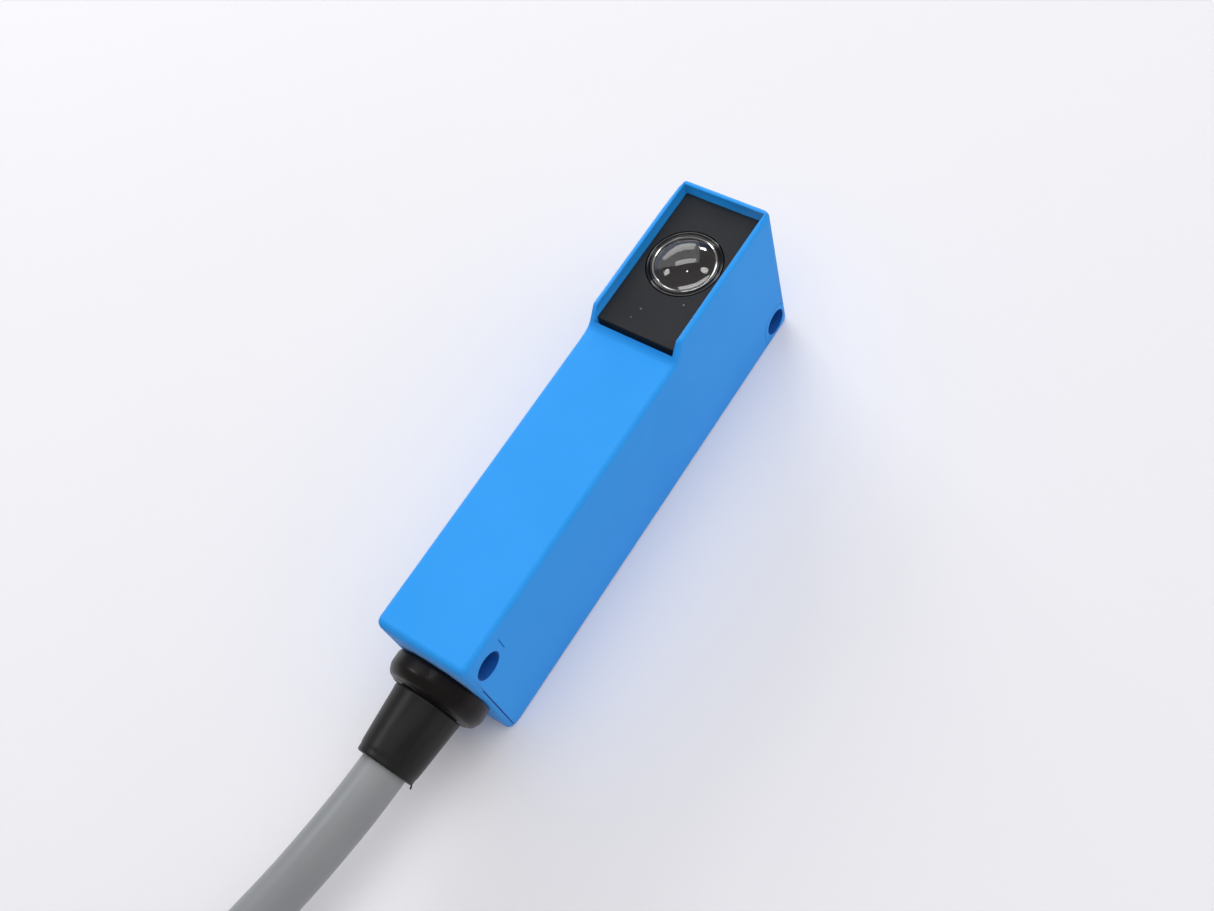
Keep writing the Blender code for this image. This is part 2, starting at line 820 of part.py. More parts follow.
def make_components(parts, finishes):
    low = BOARD_TOP + SEAT
    for name, middle, (x, y, z), finish in COMPONENTS:
        box(
            name,
            (-x / 2, middle - y / 2, low),
            (x / 2, middle + y / 2, low + z),
            parts,
            finishes[finish],
            0.12,
        )
    radius = CAPACITOR_DIAMETER / 2
    top = low + CAPACITOR_HEIGHT
    can = [
        (0.0, top),
        (radius - CAPACITOR_EDGE, top),
        (radius, top - CAPACITOR_EDGE),
        (radius, low),
        (0.0, low),
    ]
    turned("storage_capacitor", can, (0, CAPACITOR_Y, 0), "Z", parts, finishes["metal"], 32)


def make_adjuster(parts, tools, finishes):
    """The slotted screw in the head's end face, its seal, and the trimmer that it turns."""
    head_top = -ADJUSTER_RECESS
    head_low = head_top - ADJUSTER_HEAD
    outer = ADJUSTER_DIAMETER / 2
    groove = outer - RING_GROOVE_DEPTH
    groove_top = head_top - (ADJUSTER_HEAD + SLOT_DEPTH - RING_GROOVE_WIDTH) / 2
    groove_low = groove_top - RING_GROOVE_WIDTH
    shaft = SHAFT_DIAMETER / 2
    profile = [
        (0.0, head_top),
        (outer, head_top),
        (outer, groove_top),
        (groove, groove_top),
        (groove, groove_low),
        (outer, groove_low),
        (outer, head_low),
        (shaft, head_low),
        (shaft, head_low - SHAFT_LENGTH),
        (0.0, head_low - SHAFT_LENGTH),
    ]
    place = (0, HEAD_END, ADJUSTER_HEIGHT)
    screw = turned("adjuster_screw", profile, place, "Y", parts, finishes["adjuster"])
    slot = box(
        "cut_slot",
        (-outer - THROUGH, HEAD_END - ADJUSTER_RECESS - SLOT_DEPTH, ADJUSTER_HEIGHT - SLOT_WIDTH / 2),
        (outer + THROUGH, HEAD_END + THROUGH, ADJUSTER_HEIGHT + SLOT_WIDTH / 2),
        tools,
    )
    cut(screw, helper(slot))
    middle = (groove_top + groove_low) / 2
    centre = groove + SEAL_RADIUS + SEAT / 3
    circle = [math.tau * i / 12 for i in range(12)]
    seal = [
        (centre - SEAL_RADIUS * math.cos(a), middle + SEAL_RADIUS * math.sin(a)) for a in circle
    ]
    turned("adjuster_seal", seal, place, "Y", parts, finishes["rubber"])
    x, y, z = TRIMMER_SIZE
    trimmer = box(
        "trimmer",
        (-x / 2, COMPONENT_Y, ADJUSTER_HEIGHT - z / 2),
        (x / 2, COMPONENT_Y + y, ADJUSTER_HEIGHT + z / 2),
        parts,
        finishes["trimmer"],
        0.15,
    )
    shaft_end = HEAD_END + head_low - SHAFT_LENGTH
    bore_from = shaft_end - 2 * SEAT
    bore_to = COMPONENT_Y + y + THROUGH
    bore = rod(
        "cut_trimmer_bore",
        (0, (bore_from + bore_to) / 2, ADJUSTER_HEIGHT),
        "Y",
        SHAFT_DIAMETER + 2 * RUNNING,
        bore_to - bore_from,
        tools,
        sides=24,
    )
    cut(trimmer, helper(bore))


def make_indicator(parts, finishes):
    """The indicator lamp on the end board and the light guide that carries it to the end face."""
    x, y, z = LED_SIZE
    box(
        "indicator_led",
        (-x / 2, COMPONENT_Y, GUIDE_HEIGHT - z / 2),
        (x / 2, COMPONENT_Y + y, GUIDE_HEIGHT + z / 2),
        parts,
        finishes["indicator"],
        0.1,
    )
    radius = GUIDE_DIAMETER / 2
    collar = radius + GUIDE_COLLAR
    collar_high = INNER_END - SEAT
    low = COMPONENT_Y + y + SEAT
    profile = [
        (0.0, HEAD_END),
        (radius, HEAD_END),
        (radius, collar_high),
        (collar, collar_high),
        (collar, low),
        (0.0, low),
    ]
    turned("light_guide", profile, (0, 0, GUIDE_HEIGHT), "Y", parts, finishes["guide"], 32)


def make_gland(parts, tools, finishes):
    """The round flange on the cable end, the rubber boot through it, and the clamp inside."""
    axis = (0, 0, GLAND_HEIGHT)
    outer = GLAND_DIAMETER / 2
    bore = GLAND_HOLE / 2
    far = BOOT_ROOT + SEAT
    corner = [
        (
            outer - GLAND_EDGE + GLAND_EDGE * math.cos(math.pi * i / 8),
            far + GLAND_EDGE - GLAND_EDGE * math.sin(math.pi * i / 8),
        )
        for i in range(5)
    ]
    flange = [(bore, FLANGE_FACE), (outer, FLANGE_FACE), *corner, (bore, far)]
    turned("gland_flange", flange, axis, "Y", parts, finishes["black"], 56)
    inner = CABLE_DIAMETER / 2 + SEAT
    neck = NECK_DIAMETER / 2
    boot = [
        (inner, INNER_START),
        (neck, INNER_START),
        (neck, BOOT_ROOT),
        (BOOT_ROOT_DIAMETER / 2, BOOT_ROOT),
        (BOOT_END_DIAMETER / 2, BOOT_END + BOOT_LIP),
        (BOOT_END_DIAMETER / 2, BOOT_END),
        (inner, BOOT_END),
    ]
    relief = turned("strain_relief", boot, axis, "Y", parts, finishes["rubber"])
    clamp_far = INNER_START + SEAT + CLAMP_LENGTH
    clamp = [
        (inner, clamp_far),
        (inner + CLAMP_WALL, clamp_far),
        (inner + CLAMP_WALL, INNER_START + SEAT),
        (inner, INNER_START + SEAT),
    ]
    ring = turned("cable_clamp", clamp, axis, "Y", parts, finishes["metal"])
    y, z = LOWER_HOLE
    way = LOWER_TUBE_DIAMETER + 2 * SEAT
    tube_way = helper(rod("cut_tube_way", (0, y, z), "X", way, WIDTH, tools))
    cut(ring, tube_way)
    cut(relief, tube_way)
    length = INNER_START + STUB_INSIDE - BOOT_END
    rod(
        "cable_entry",
        (0, BOOT_END + length / 2, GLAND_HEIGHT),
        "Y",
        CABLE_DIAMETER,
        length,
        parts,
        finishes["jacket"],
    )


CORES = ["brown", "white", "black_core", "blue_core"]


def core_place(i):
    """A core's place in the jacket: two above and two below, with the upper two on the outside lanes."""
    return CORE_SPREAD * (-1 if i < 2 else 1), CORE_SPREAD * (1 if i in (0, 3) else -1)


def make_inner_cores(parts, finishes):
    """The four insulated wires from the jacket's end down to the main board."""
    start = INNER_START + STUB_INSIDE + CORD_GAP
    pad = BOARD_START + PAD_FROM_BOARD_END
    for i, colour in enumerate(CORES):
        across, above = core_place(i)
        lane = (i - 1.5) * PAD_SPACING
        rest = BOARD_TOP + CORE_DIAMETER / 2 + SEAT
        points = [
            (lane_mix(across, lane, 0.0), start, GLAND_HEIGHT + above),
            (lane_mix(across, lane, 0.15), start + 1.2, GLAND_HEIGHT + above * 0.9),
            (lane_mix(across, lane, 0.8), pad - 1.6, rest + 0.9 + 0.5 * above),
            (lane, pad, rest),
            (lane, pad + 1.6, rest),
        ]
        wire = tube(
            f"inner_wire_{i + 1}", smooth_path(points, 0.8), CORE_DIAMETER, parts, finishes[colour]
        )
        wire.data.bevel_resolution = 2


def lane_mix(start, end, share):
    return start + (end - start) * share


def stadium(radius, steps=20):
    """Points round one turn of the hank, at a radius about its two folds."""
    points = []
    for fold, start in ((HANK_NEAR, 0.0), (HANK_FAR, 180.0)):
        for i in range(steps + 1):
            turn = math.radians(start + 180.0 * i / steps)
            points.append((HANK_X + radius * math.cos(turn), fold + radius * math.sin(turn)))
    return points


def stadium_ring(name, inner, outer, low, high, collection, material):
    """A block round the hank's turns, open in the middle."""
    shape = bmesh.new()
    corners = []
    for radius, height in ((outer, low), (outer, high), (inner, high), (inner, low)):
        corners.append(
            [shape.verts.new(Vector((x, y, height)) * MM) for x, y in stadium(radius)]
        )
    count = len(corners[0])
    for loop, following in zip(corners, corners[1:] + corners[:1]):
        for i in range(count):
            j = (i + 1) % count
            shape.faces.new((loop[i], loop[j], following[j], following[i]))
    bmesh.ops.recalc_face_normals(shape, faces=shape.faces)
    mesh = bpy.data.meshes.new(name)
    shape.to_mesh(mesh)
    shape.free()
    return add_object(name, mesh, collection, material)


def far_fold(travel, radius, height):
    """A point over the hank's far fold, so many millimetres round it from its left end."""
    turn = math.pi + travel / HANK_MIDDLE
    return HANK_X + radius * math.cos(turn), HANK_FAR + radius * math.sin(turn), height


def make_cord(parts, finishes):
    """The outer cable: the run to the hank, the hank, its tie, the tail and its bare wires."""
    lowest = HANK_LIFT + CABLE_DIAMETER / 2
    start = BOOT_END - CORD_GAP
    route = [
        (x, start - away, lowest + share * (GLAND_HEIGHT - lowest)) for x, away, share in ROUTE
    ]
    jacket = finishes["jacket"]
    tube("cable", smooth_path(route, 5.0), CABLE_DIAMETER, parts, jacket, 3)
    stadium_ring("cable_hank", HANK_INNER, HANK_OUTER, HANK_LIFT, HANK_TOP, parts, jacket)
    make_tie(parts, finishes["black"])
    tail_length = TAIL_SHARE * math.pi * HANK_MIDDLE
    tail = [far_fold(tail_length * i / 6, HANK_MIDDLE, TAIL_HEIGHT) for i in range(7)]
    tube("cable_tail", tail, CABLE_DIAMETER, parts, jacket, 3)
    rest = HANK_TOP + CORE_DIAMETER / 2 + SEAT
    for i, colour in enumerate(CORES):
        across, above = core_place(i)
        fan = (i - 1.5) * CORE_END_SPREAD
        stages = [
            (CORD_GAP, across, TAIL_HEIGHT + above),
            (CORD_GAP + 3.0, lane_mix(across, fan, 0.3), TAIL_HEIGHT + above * 0.8),
            (CORD_GAP + 8.0, fan * 0.8, rest + 0.5),
            (CORD_GAP + 13.0, fan, rest),
            (CORD_GAP + CORE_END_LENGTH, fan * 1.1, rest),
        ]
        points = [
            far_fold(tail_length + along, HANK_MIDDLE + out, height)
            for along, out, height in stages
        ]
        tube(f"wire_end_{i + 1}", smooth_path(points, 2.5), CORE_DIAMETER, parts, finishes[colour])


def make_tie(parts, material):
    """The strap round the hank's left-hand run, a flat band closed on itself."""
    across = HANK_COLUMNS * CABLE_DIAMETER / 2 + CORD_GAP / 3
    high = HANK_TOP + CORD_GAP / 3
    x = HANK_X - HANK_MIDDLE
    y = (HANK_NEAR + HANK_FAR) / 2
    outer = across + TIE_THICKNESS
    strap = box(
        "hank_tie",
        (x - outer, y - TIE_WIDTH / 2, 0.0),
        (x + outer, y + TIE_WIDTH / 2, high + TIE_THICKNESS),
        parts,
        material,
    )
    opening = box(
        "cut_tie",
        (x - across, y - TIE_WIDTH, TIE_THICKNESS),
        (x + across, y + TIE_WIDTH, high),
        bpy.data.collections["cutters"],
    )
    cut(strap, helper(opening))


def make_finishes():
    return {
        "blue": make_material("blue_plastic", (0.045, 0.30, 0.85), 0.42),
        "black": make_material("black_plastic", (0.018, 0.019, 0.02), 0.5),
        "panel": make_material("matte_black_panel", (0.022, 0.025, 0.027), 0.75),
        "clear": make_material("clear_lens", (0.85, 0.87, 0.9), 0.05, alpha=0.35),
        "dark_glass": make_material("detector_package", (0.02, 0.015, 0.02), 0.15),
        "board": make_material("circuit_board", (0.02, 0.12, 0.05), 0.45),
        "metal": make_material("bare_metal", (0.7, 0.7, 0.72), 0.3, metallic=1.0),
        "adjuster": make_material("adjuster_plastic", (0.75, 0.75, 0.72), 0.4),
        "trimmer": make_material("trimmer_body", (0.05, 0.1, 0.3), 0.45),
        "indicator": make_material("indicator_lamp", (0.8, 0.5, 0.05), 0.25),
        "guide": make_material("light_guide_plastic", (0.8, 0.8, 0.75), 0.1, alpha=0.35),
        "rubber": make_material("black_rubber", (0.02, 0.02, 0.021), 0.6),
        "jacket": make_material("cable_jacket", (0.30, 0.32, 0.34), 0.5),
        "brown": make_material("brown_insulation", (0.16, 0.06, 0.025), 0.45),
        "white": make_material("white_insulation", (0.8, 0.8, 0.78), 0.45),
        "black_core": make_material("black_insulation", (0.02, 0.02, 0.02), 0.45),
        "blue_core": make_material("blue_insulation", (0.03, 0.12, 0.5), 0.45),
    }


def main():
    clear_scene()
    parts = new_collection("photoelectric_sensor")
    tools = new_collection("cutters")
    finishes = make_finishes()
    make_housing(parts, tools, finishes["blue"])
    make_rear_cover(parts, tools, finishes["blue"])
    make_front_panel(parts, tools, finishes["panel"])
    make_optics(parts, finishes["clear"], finishes["black"], finishes["dark_glass"])
    make_boards(parts, tools, finishes["board"], finishes["black"])
    make_components(parts, finishes)
    make_adjuster(parts, tools, finishes)
    make_indicator(parts, finishes)
    make_gland(parts, tools, finishes)
    make_inner_cores(parts, finishes)
    make_cord(parts, finishes)


main()
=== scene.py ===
"""Finished look of a slim photoelectric sensor with its connection cable.

Lengths in this file are metres. X is the sensor's width, Y its length towards the head, and Z its
depth, up out of the lens. The origin is the middle of the back face, on which the sensor lies.
"""

import math

import bmesh
import bpy
from mathutils import Matrix, Vector
from mathutils.geometry import convex_hull_2d


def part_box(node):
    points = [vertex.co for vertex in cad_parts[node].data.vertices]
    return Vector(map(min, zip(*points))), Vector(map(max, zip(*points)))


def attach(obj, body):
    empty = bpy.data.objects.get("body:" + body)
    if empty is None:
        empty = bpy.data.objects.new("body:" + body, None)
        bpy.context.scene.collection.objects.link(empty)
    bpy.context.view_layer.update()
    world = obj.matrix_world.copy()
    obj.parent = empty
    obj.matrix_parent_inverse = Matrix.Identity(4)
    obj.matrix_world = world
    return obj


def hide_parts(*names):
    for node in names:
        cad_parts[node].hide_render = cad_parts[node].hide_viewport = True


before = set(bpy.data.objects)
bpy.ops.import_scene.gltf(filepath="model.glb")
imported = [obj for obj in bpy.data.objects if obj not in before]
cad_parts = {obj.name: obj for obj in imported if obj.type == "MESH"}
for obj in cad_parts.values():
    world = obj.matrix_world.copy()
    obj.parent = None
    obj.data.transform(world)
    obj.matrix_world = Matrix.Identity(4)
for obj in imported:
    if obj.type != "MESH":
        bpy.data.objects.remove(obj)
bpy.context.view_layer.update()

bl_info = {
    "name": "Photoelectric Sensor",
    "version": (1, 0, 0),
    "blender": (4, 5, 0),
    "location": "View3D > Sidebar > Sensor",
    "description": "Builds a slim photoelectric sensor with its lens, gland and folded cable",
    "category": "Add Mesh",
}

BODY = "sensor"


def box_of(node):
    """A frame node's lowest and highest corner."""
    return [Vector(corner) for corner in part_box(node)]


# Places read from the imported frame
LENS_LOW, LENS_HIGH = box_of("lens")
RING_LOW, RING_HIGH = box_of("lens_ring")
FLANGE_LOW, FLANGE_HIGH = box_of("gland_flange")
BOOT_LOW, BOOT_HIGH = box_of("strain_relief")
HANK_LOW, HANK_HIGH = box_of("cable_hank")
TIE_LOW, TIE_HIGH = box_of("hank_tie")
BOARD_TOP = box_of("main_board")[1].z
LENS_CENTRE = (LENS_LOW + LENS_HIGH) / 2
GLAND_CENTRE = (FLANGE_LOW + FLANGE_HIGH) / 2
HANK_CENTRE = (HANK_LOW + HANK_HIGH) / 2
TIE_CENTRE = (TIE_LOW + TIE_HIGH) / 2
LENS_AXIS = Vector((LENS_CENTRE.x, LENS_CENTRE.y, 0.0))
GLAND_AXIS = Vector((0.0, 0.0, GLAND_CENTRE.z))

# The lens and its ring
RING_RADIUS = (RING_HIGH.x - RING_LOW.x) / 2
RING_WIDTH = 0.0008
LENS_EDGE_WIDTH = 0.0002
LENS_EDGE_SHIFT = -43.0  # the angle it is set off to, so that it is broadest on the near side
FIT_GAP = 0.00006  # the clearance between pieces that fit together
LENS_BEVEL = 0.00006
DOME_STEPS = 28
ROUND_SIDES = 128  # sides of the lens and of what is round it

# Places and radius of the two cross holes, along and up
CROSS_HOLES = [((-0.02814, 0.01515), 0.00176), ((0.02825, 0.00245), 0.00176)]

# The cord's route from the boot to the hank, sideways, away from the boot, and up
ROUTE = [
    (0.0, 0.0, 0.0095),
    (-0.00025, 0.0045, 0.009438),
    (-0.0009, 0.0095, 0.009097),
    (-0.0019, 0.0145, 0.008384),
    (-0.0032, 0.0195, 0.007516),
    (-0.0047, 0.0245, 0.006307),
    (-0.0061, 0.0295, 0.005197),
    (-0.0075, 0.0355, 0.004106),
    (-0.0085, 0.0415, 0.003486),
    (-0.0089, 0.0475, 0.003302),
]
CORD_GAP = 0.0003
CORD_IN_BOOT = 0.002  # how far the cord reaches back into the boot
CORD_SIDES = 24
CORD_STEP = 0.003
RUN_STEPS, FOLD_STEPS = 13, 18  # points along a straight run and round a fold of the hank

# The hank's turns go in quarters: left run, far fold, right run, near fold
HANK_COLUMNS = 2
HANK_LAYERS = 5
HANK_TURNS = HANK_COLUMNS * HANK_LAYERS
LAST_QUARTER = 4 * (HANK_TURNS - 1) + 1.55
CROSSING = (-2.0, -1.0)  # each turn moves over to the next column along the right run
CLIMB = (-1.0, -0.35)  # and climbs to the next layer round the near fold

# The wires in the cable, and how they spread out of its end
CORES = {
    "brown": (0.14, 0.05, 0.02),
    "white": (0.74, 0.74, 0.72),
    "black": (0.018, 0.018, 0.019),
    "blue": (0.02, 0.11, 0.45),
}
CORE_OFFSET = 0.00085
LEAD_FAN = 0.0022
LEAD_SINK = 0.0002  # how far the wires sink between the turns that they lie on
LEAD_STEP = 0.0007
LEAD_SIDES = 16
LEAD_INSULATED = 0.76  # the share of each wire that keeps its insulation

# The cable tie
STRAP_THICK = 0.0005
STRAP_GAP = 0.0001
STRAP_SECTION = [(-1.0, -0.6), (-0.94, -1.0), (0.94, -1.0), (1.0, -0.6)]
STRAP_SECTION += [(-side, -lift) for side, lift in STRAP_SECTION]
TIE_HEAD = (0.0048, 0.0052, 0.0024)
TIE_HEAD_SINK = 0.0001
TIE_HEAD_ROUNDING = 0.00055
TIE_SLOT_RIM = 0.0009
TIE_SLOT_DEPTH = 0.0007
TIE_RIB_RADIUS = 0.00017
TIE_RIBS_LOW = 0.0056  # how far the lowest rib is below the tie's middle
LOOP_STEPS = 36

# The chips' leads
CHIP_LEADS = 3
CHIP_LEAD_PITCH = 0.00127
CHIP_LEAD_REACH = 0.00025  # how far they stand out from the chip
CHIP_LEAD_HEIGHT = 0.00014
CHIP_LEAD_RADIUS = 0.0002
CHIP_LEAD_SHAPE = (1.6, 1.1, 0.55)

# The camera's place, and the directions of its right and upper sides
CAMERA_PLACE = (0.063033, -0.043966, 0.138462)
CAMERA_RIGHT = Vector((0.81375, 0.54295, -0.20741))
CAMERA_UP = Vector((-0.40611, 0.78644, 0.46540))


# Shader maths

# A Mix node's colour sockets, by place, because its other kinds have the same names
MIX_FIRST, MIX_SECOND, MIX_RESULT = 6, 7, 2


class Socket:
    """One output of a shader node. Arithmetic on it adds Math nodes."""

    def __init__(self, tree, output):
        self.tree = tree
        self.output = output

    def math(self, operation, first, second=None):
        node = self.tree.nodes.new("ShaderNodeMath")
        node.operation = operation
        for place, value in enumerate((first, second)):
            if isinstance(value, Socket):
                self.tree.links.new(value.output, node.inputs[place])
            elif value is not None:
                node.inputs[place].default_value = value
        return Socket(self.tree, node.outputs[0])

    def __add__(self, other):
        return self.math("ADD", self, other)

    def __sub__(self, other):
        return self.math("SUBTRACT", self, other)

    def __rsub__(self, other):
        return self.math("SUBTRACT", other, self)

    def __mul__(self, other):
        return self.math("MULTIPLY", self, other)

    def __rtruediv__(self, other):
        return self.math("DIVIDE", other, self)

    def __gt__(self, other):
        return self.math("GREATER_THAN", self, other)

    def __lt__(self, other):
        return self.math("LESS_THAN", self, other)

    __radd__ = __add__
    __rmul__ = __mul__


class Tree:
    """A node tree under construction."""

    def __init__(self, tree):
        self.tree = tree

    def node(self, kind, settings=None, values=None, output=0):
        """Adds a node: its settings first, then the values or links of its sockets."""
        made = self.tree.nodes.new(kind)
        for key, value in (settings or {}).items():
            setattr(made, key, value)
        for key, value in (values or {}).items():
            self.fill(made.inputs[key], value)
        return Socket(self.tree, made.outputs[output])

    def fill(self, socket, value):
        if isinstance(value, Socket):
            self.tree.links.new(value.output, socket)
        else:
            socket.default_value = value


class Finish(Tree):
    """A material under construction, with its one Principled shader."""

    def __init__(self, name):
        self.material = bpy.data.materials.new(name)
        self.material.use_nodes = True
        super().__init__(self.material.node_tree)
        self.shader = self.tree.nodes["Principled BSDF"]

    def place(self, scale=(1.0, 1.0, 1.0), turn=(0.0, 0.0, 0.0)):
        """Object coordinates, scaled and turned for a pattern."""
        coords = self.node("ShaderNodeTexCoord", output="Object")
        return self.node(
            "ShaderNodeMapping", values={"Vector": coords, "Scale": scale, "Rotation": turn}
        )

    def noise(self, size, detail=2.0, roughness=0.5, where=None):
        """Noise whose lumps are about a size across, in metres."""
        return self.node(
            "ShaderNodeTexNoise",
            values={
                "Vector": where or self.place(),
                "Scale": 1 / size,
                "Detail": detail,
                "Roughness": roughness,
            },
            output="Fac",
        )

    def blend(self, share, first, second):
        """A colour between two, by a share that changes over the surface."""
        return self.node(
            "ShaderNodeMix",
            {"data_type": "RGBA"},
            {"Factor": share, MIX_FIRST: opaque(first), MIX_SECOND: opaque(second)},
            output=MIX_RESULT,
        )

    def spread(self, value, low, high):
        """The part of a value between two limits, stretched from 0 to 1."""
        return self.node(
            "ShaderNodeMapRange", values={"Value": value, "From Min": low, "From Max": high}
        )

    def bump(self, height, distance, strength=1.0, under=None):
        values = {"Height": height, "Distance": distance, "Strength": strength}
        if under:
            values["Normal"] = under
        return self.node("ShaderNodeBump", values=values)

    def feed(self, **inputs):
        """Fills the Principled shader's sockets. Underscores stand for spaces."""
        for key, value in inputs.items():
            self.fill(self.shader.inputs[key.replace("_", " ")], opaque(value))
        return self.material


def opaque(value):
    """A colour of three numbers with its fourth. Anything else is left as it is."""
    return (*value, 1.0) if isinstance(value, tuple) and len(value) == 3 else value


def mix_colour(first, second, share):
    return tuple(a + (b - a) * share for a, b in zip(first, second))


def darker(colour, share):
    return mix_colour(colour, (0.0, 0.0, 0.0), share)


def lighter(colour, share):
    return mix_colour(colour, (1.0, 1.0, 1.0), share)


# Finishes


def moulded_plastic(name, colour, roughness, bores=(), scuffs=0.12, sheen=0.12):
    """Moulded plastic: a fine spark-eroded grain, faint flow shading and a few hairline scuffs.

    The bores, each a place and a radius, get painted shade: duller, darker and more saturated in
    colour than the outer faces.
    """
    made = Finish(name)
    tone = made.noise(0.011, 3.0)
    fine = made.noise(0.00012, 3.0, 0.6)
    lines = made.noise(0.0011, 5.0, 0.65, made.place((1.0, 0.06, 1.0), (0.0, 0.0, 0.5)))
    scuff = made.spread(lines, 0.66, 0.74)
    base = made.blend(tone, darker(colour, 0.1), lighter(colour, 0.025))
    base = made.blend(scuff * scuffs, base, lighter(colour, 0.12))
    # Painted shade: inside each bore the blue is mixed most of the way to a dark navy
    painted_bore_shade = mix_colour(colour, (0.0, 0.01, 0.25), 0.7)
    for place, radius in bores:
        away = made.node(
            "ShaderNodeVectorMath",
            {"operation": "DISTANCE"},
            {0: made.place((0.0, 1.0, 1.0)), 1: (0.0, *place)},
            "Value",
        )
        base = made.blend(away < radius, base, painted_bore_shade)
    return made.feed(
        Base_Color=base,
        Roughness=(roughness - 0.04) + tone * 0.08 + scuff * scuffs,
        Normal=made.bump(fine, 0.000003),
        Specular_IOR_Level=0.3,
        Sheen_Weight=sheen,
        Sheen_Roughness=0.4,
    )


def panel_plastic(name, colour, dust):
    """Matte black panel: sandy grain, and the few pale specks of dust that such a face holds."""
    made = Finish(name)
    tone = made.noise(0.006, 3.0)
    grain = made.noise(0.00016, 4.0, 0.7)
    cells = made.node(
        "ShaderNodeTexVoronoi",
        {"feature": "F1"},
        {"Vector": made.place(), "Scale": 1 / 0.0016, "Randomness": 1.0},
        "Distance",
    )
    pick = made.noise(0.0035, 1.0)
    speck = (cells < 0.075) * (pick > 0.55)
    base = made.blend(tone, darker(colour, 0.14), lighter(colour, 0.012))
    return made.feed(
        Base_Color=made.blend(speck * dust, base, (0.42, 0.43, 0.45)),
        Roughness=0.64 + grain * 0.14,
        Normal=made.bump(grain, 0.000008),
        Specular_IOR_Level=0.22,
    )


def satin_black(name, colour, roughness, brown=0.0, shine=0.5):
    """Hard black plastic off a polished tool, with a slight drift in gloss."""
    made = Finish(name)
    drift = made.noise(0.004, 3.0)
    fine = made.noise(0.0002, 3.0, 0.6)
    warm = mix_colour(colour, (0.06, 0.035, 0.03), brown)
    return made.feed(
        Base_Color=made.blend(drift, colour, warm),
        Roughness=(roughness - 0.05) + drift * 0.1,
        Normal=made.bump(fine, 0.000003),
        Specular_IOR_Level=shine,
    )


def soft_rubber(name, colour, roughness):
    """Moulded black rubber: soft gloss, fine pores and faint streaks along it."""
    made = Finish(name)
    pores = made.noise(0.00022, 3.0, 0.65)
    streak = made.noise(0.0012, 3.0, 0.5, made.place((1.0, 0.12, 1.0)))
    return made.feed(
        Base_Color=made.blend(streak, colour, lighter(colour, 0.02)),
        Roughness=(roughness - 0.04) + streak * 0.1,
        Normal=made.bump(pores, 0.000005),
        Specular_IOR_Level=0.18,
    )


def cable_sheath(name, colour, roughness):
    """Extruded grey sheath: the draw lines run along it, on its own map of length and girth."""
    made = Finish(name)
    coords = made.node("ShaderNodeUVMap", {"uv_map": "sheath"})
    drawn = made.node("ShaderNodeMapping", values={"Vector": coords, "Scale": (46.0, 14.0, 1.0)})
    lines = made.noise(1.0, 3.0, 0.55, drawn)
    cloud = made.noise(0.009, 3.0)
    grain = made.noise(0.00025, 3.0, 0.6)
    tone = cloud * 0.6 + lines * 0.4
    return made.feed(
        Base_Color=made.blend(tone, darker(colour, 0.1), lighter(colour, 0.05)),
        Roughness=(roughness - 0.06) + lines * 0.12,
        Normal=made.bump(grain, 0.000004, 1.0, made.bump(lines, 0.00001)),
    )


def clear_plastic(name, tint):
    """Optical plastic for the lens, with the faint haze of a wiped surface in its gloss."""
    made = Finish(name)
    smear = made.noise(0.0016, 2.0, 0.5, made.place((1.0, 0.4, 1.0), (0.0, 0.0, 0.7)))
    return made.feed(
        Base_Color=tint,
        Roughness=made.spread(smear, 0.55, 0.9) * 0.02,
        Transmission_Weight=1.0,
        IOR=1.49,
    )


def polished_edge(name, colour):
    """The cut edge of clear plastic, which mirrors what is round it, with a little haze."""
    made = Finish(name)
    haze = made.noise(0.0009, 3.0)
    return made.feed(
        Base_Color=made.blend(haze, darker(colour, 0.4), colour),
        Roughness=0.08 + haze * 0.12,
        Metallic=0.9,
    )


def bare_metal(name, colour, roughness):
    """Plated metal with fine drawing marks round and along it."""
    made = Finish(name)
    marks = made.noise(0.0006, 4.0, 0.6, made.place((1.0, 1.0, 0.1)))
    return made.feed(
        Base_Color=made.blend(marks, darker(colour, 0.18), colour),
        Roughness=roughness + marks * 0.14,
        Metallic=1.0,
        Normal=made.bump(marks, 0.000004),
    )


def circuit_board_finish(name, colour, copper):
    """Green solder resist over copper tracks, which show as lighter raised lanes."""
    made = Finish(name)
    lanes = made.node(
        "ShaderNodeTexBrick",
        {"offset": 0.37, "squash": 0.6},
        {
            "Vector": made.place(),
            "Scale": 330.0,
            "Mortar Size": 0.07,
            "Mortar Smooth": 0.3,
            "Brick Width": 1.3,
            "Row Height": 0.4,
        },
        "Fac",
    )
    weave = made.noise(0.0004, 2.0)
    resist = made.blend(weave, darker(colour, 0.2), colour)
    return made.feed(
        Base_Color=made.blend(lanes, resist, copper),
        Roughness=0.3 + weave * 0.15,
        Normal=made.bump(lanes, 0.00002),
    )


def insulation(name, colour):
    """Thin wire insulation, smooth with slight handling dulling."""
    made = Finish(name)
    rub = made.noise(0.002, 3.0)
    return made.feed(
        Base_Color=made.blend(rub, darker(colour, 0.12), lighter(colour, 0.04)),
        Roughness=0.34 + rub * 0.16,
        Normal=made.bump(rub, 0.00001),
    )


def lamp_plastic(name, colour, glow):
    """Tinted plastic over a small lamp."""
    made = Finish(name)
    depth = made.noise(0.0006, 2.0)
    return made.feed(
        Base_Color=made.blend(depth, darker(colour, 0.25), colour),
        Roughness=0.18 + depth * 0.12,
        Emission_Color=made.blend(depth, (0, 0, 0), colour),
        Emission_Strength=glow,
    )


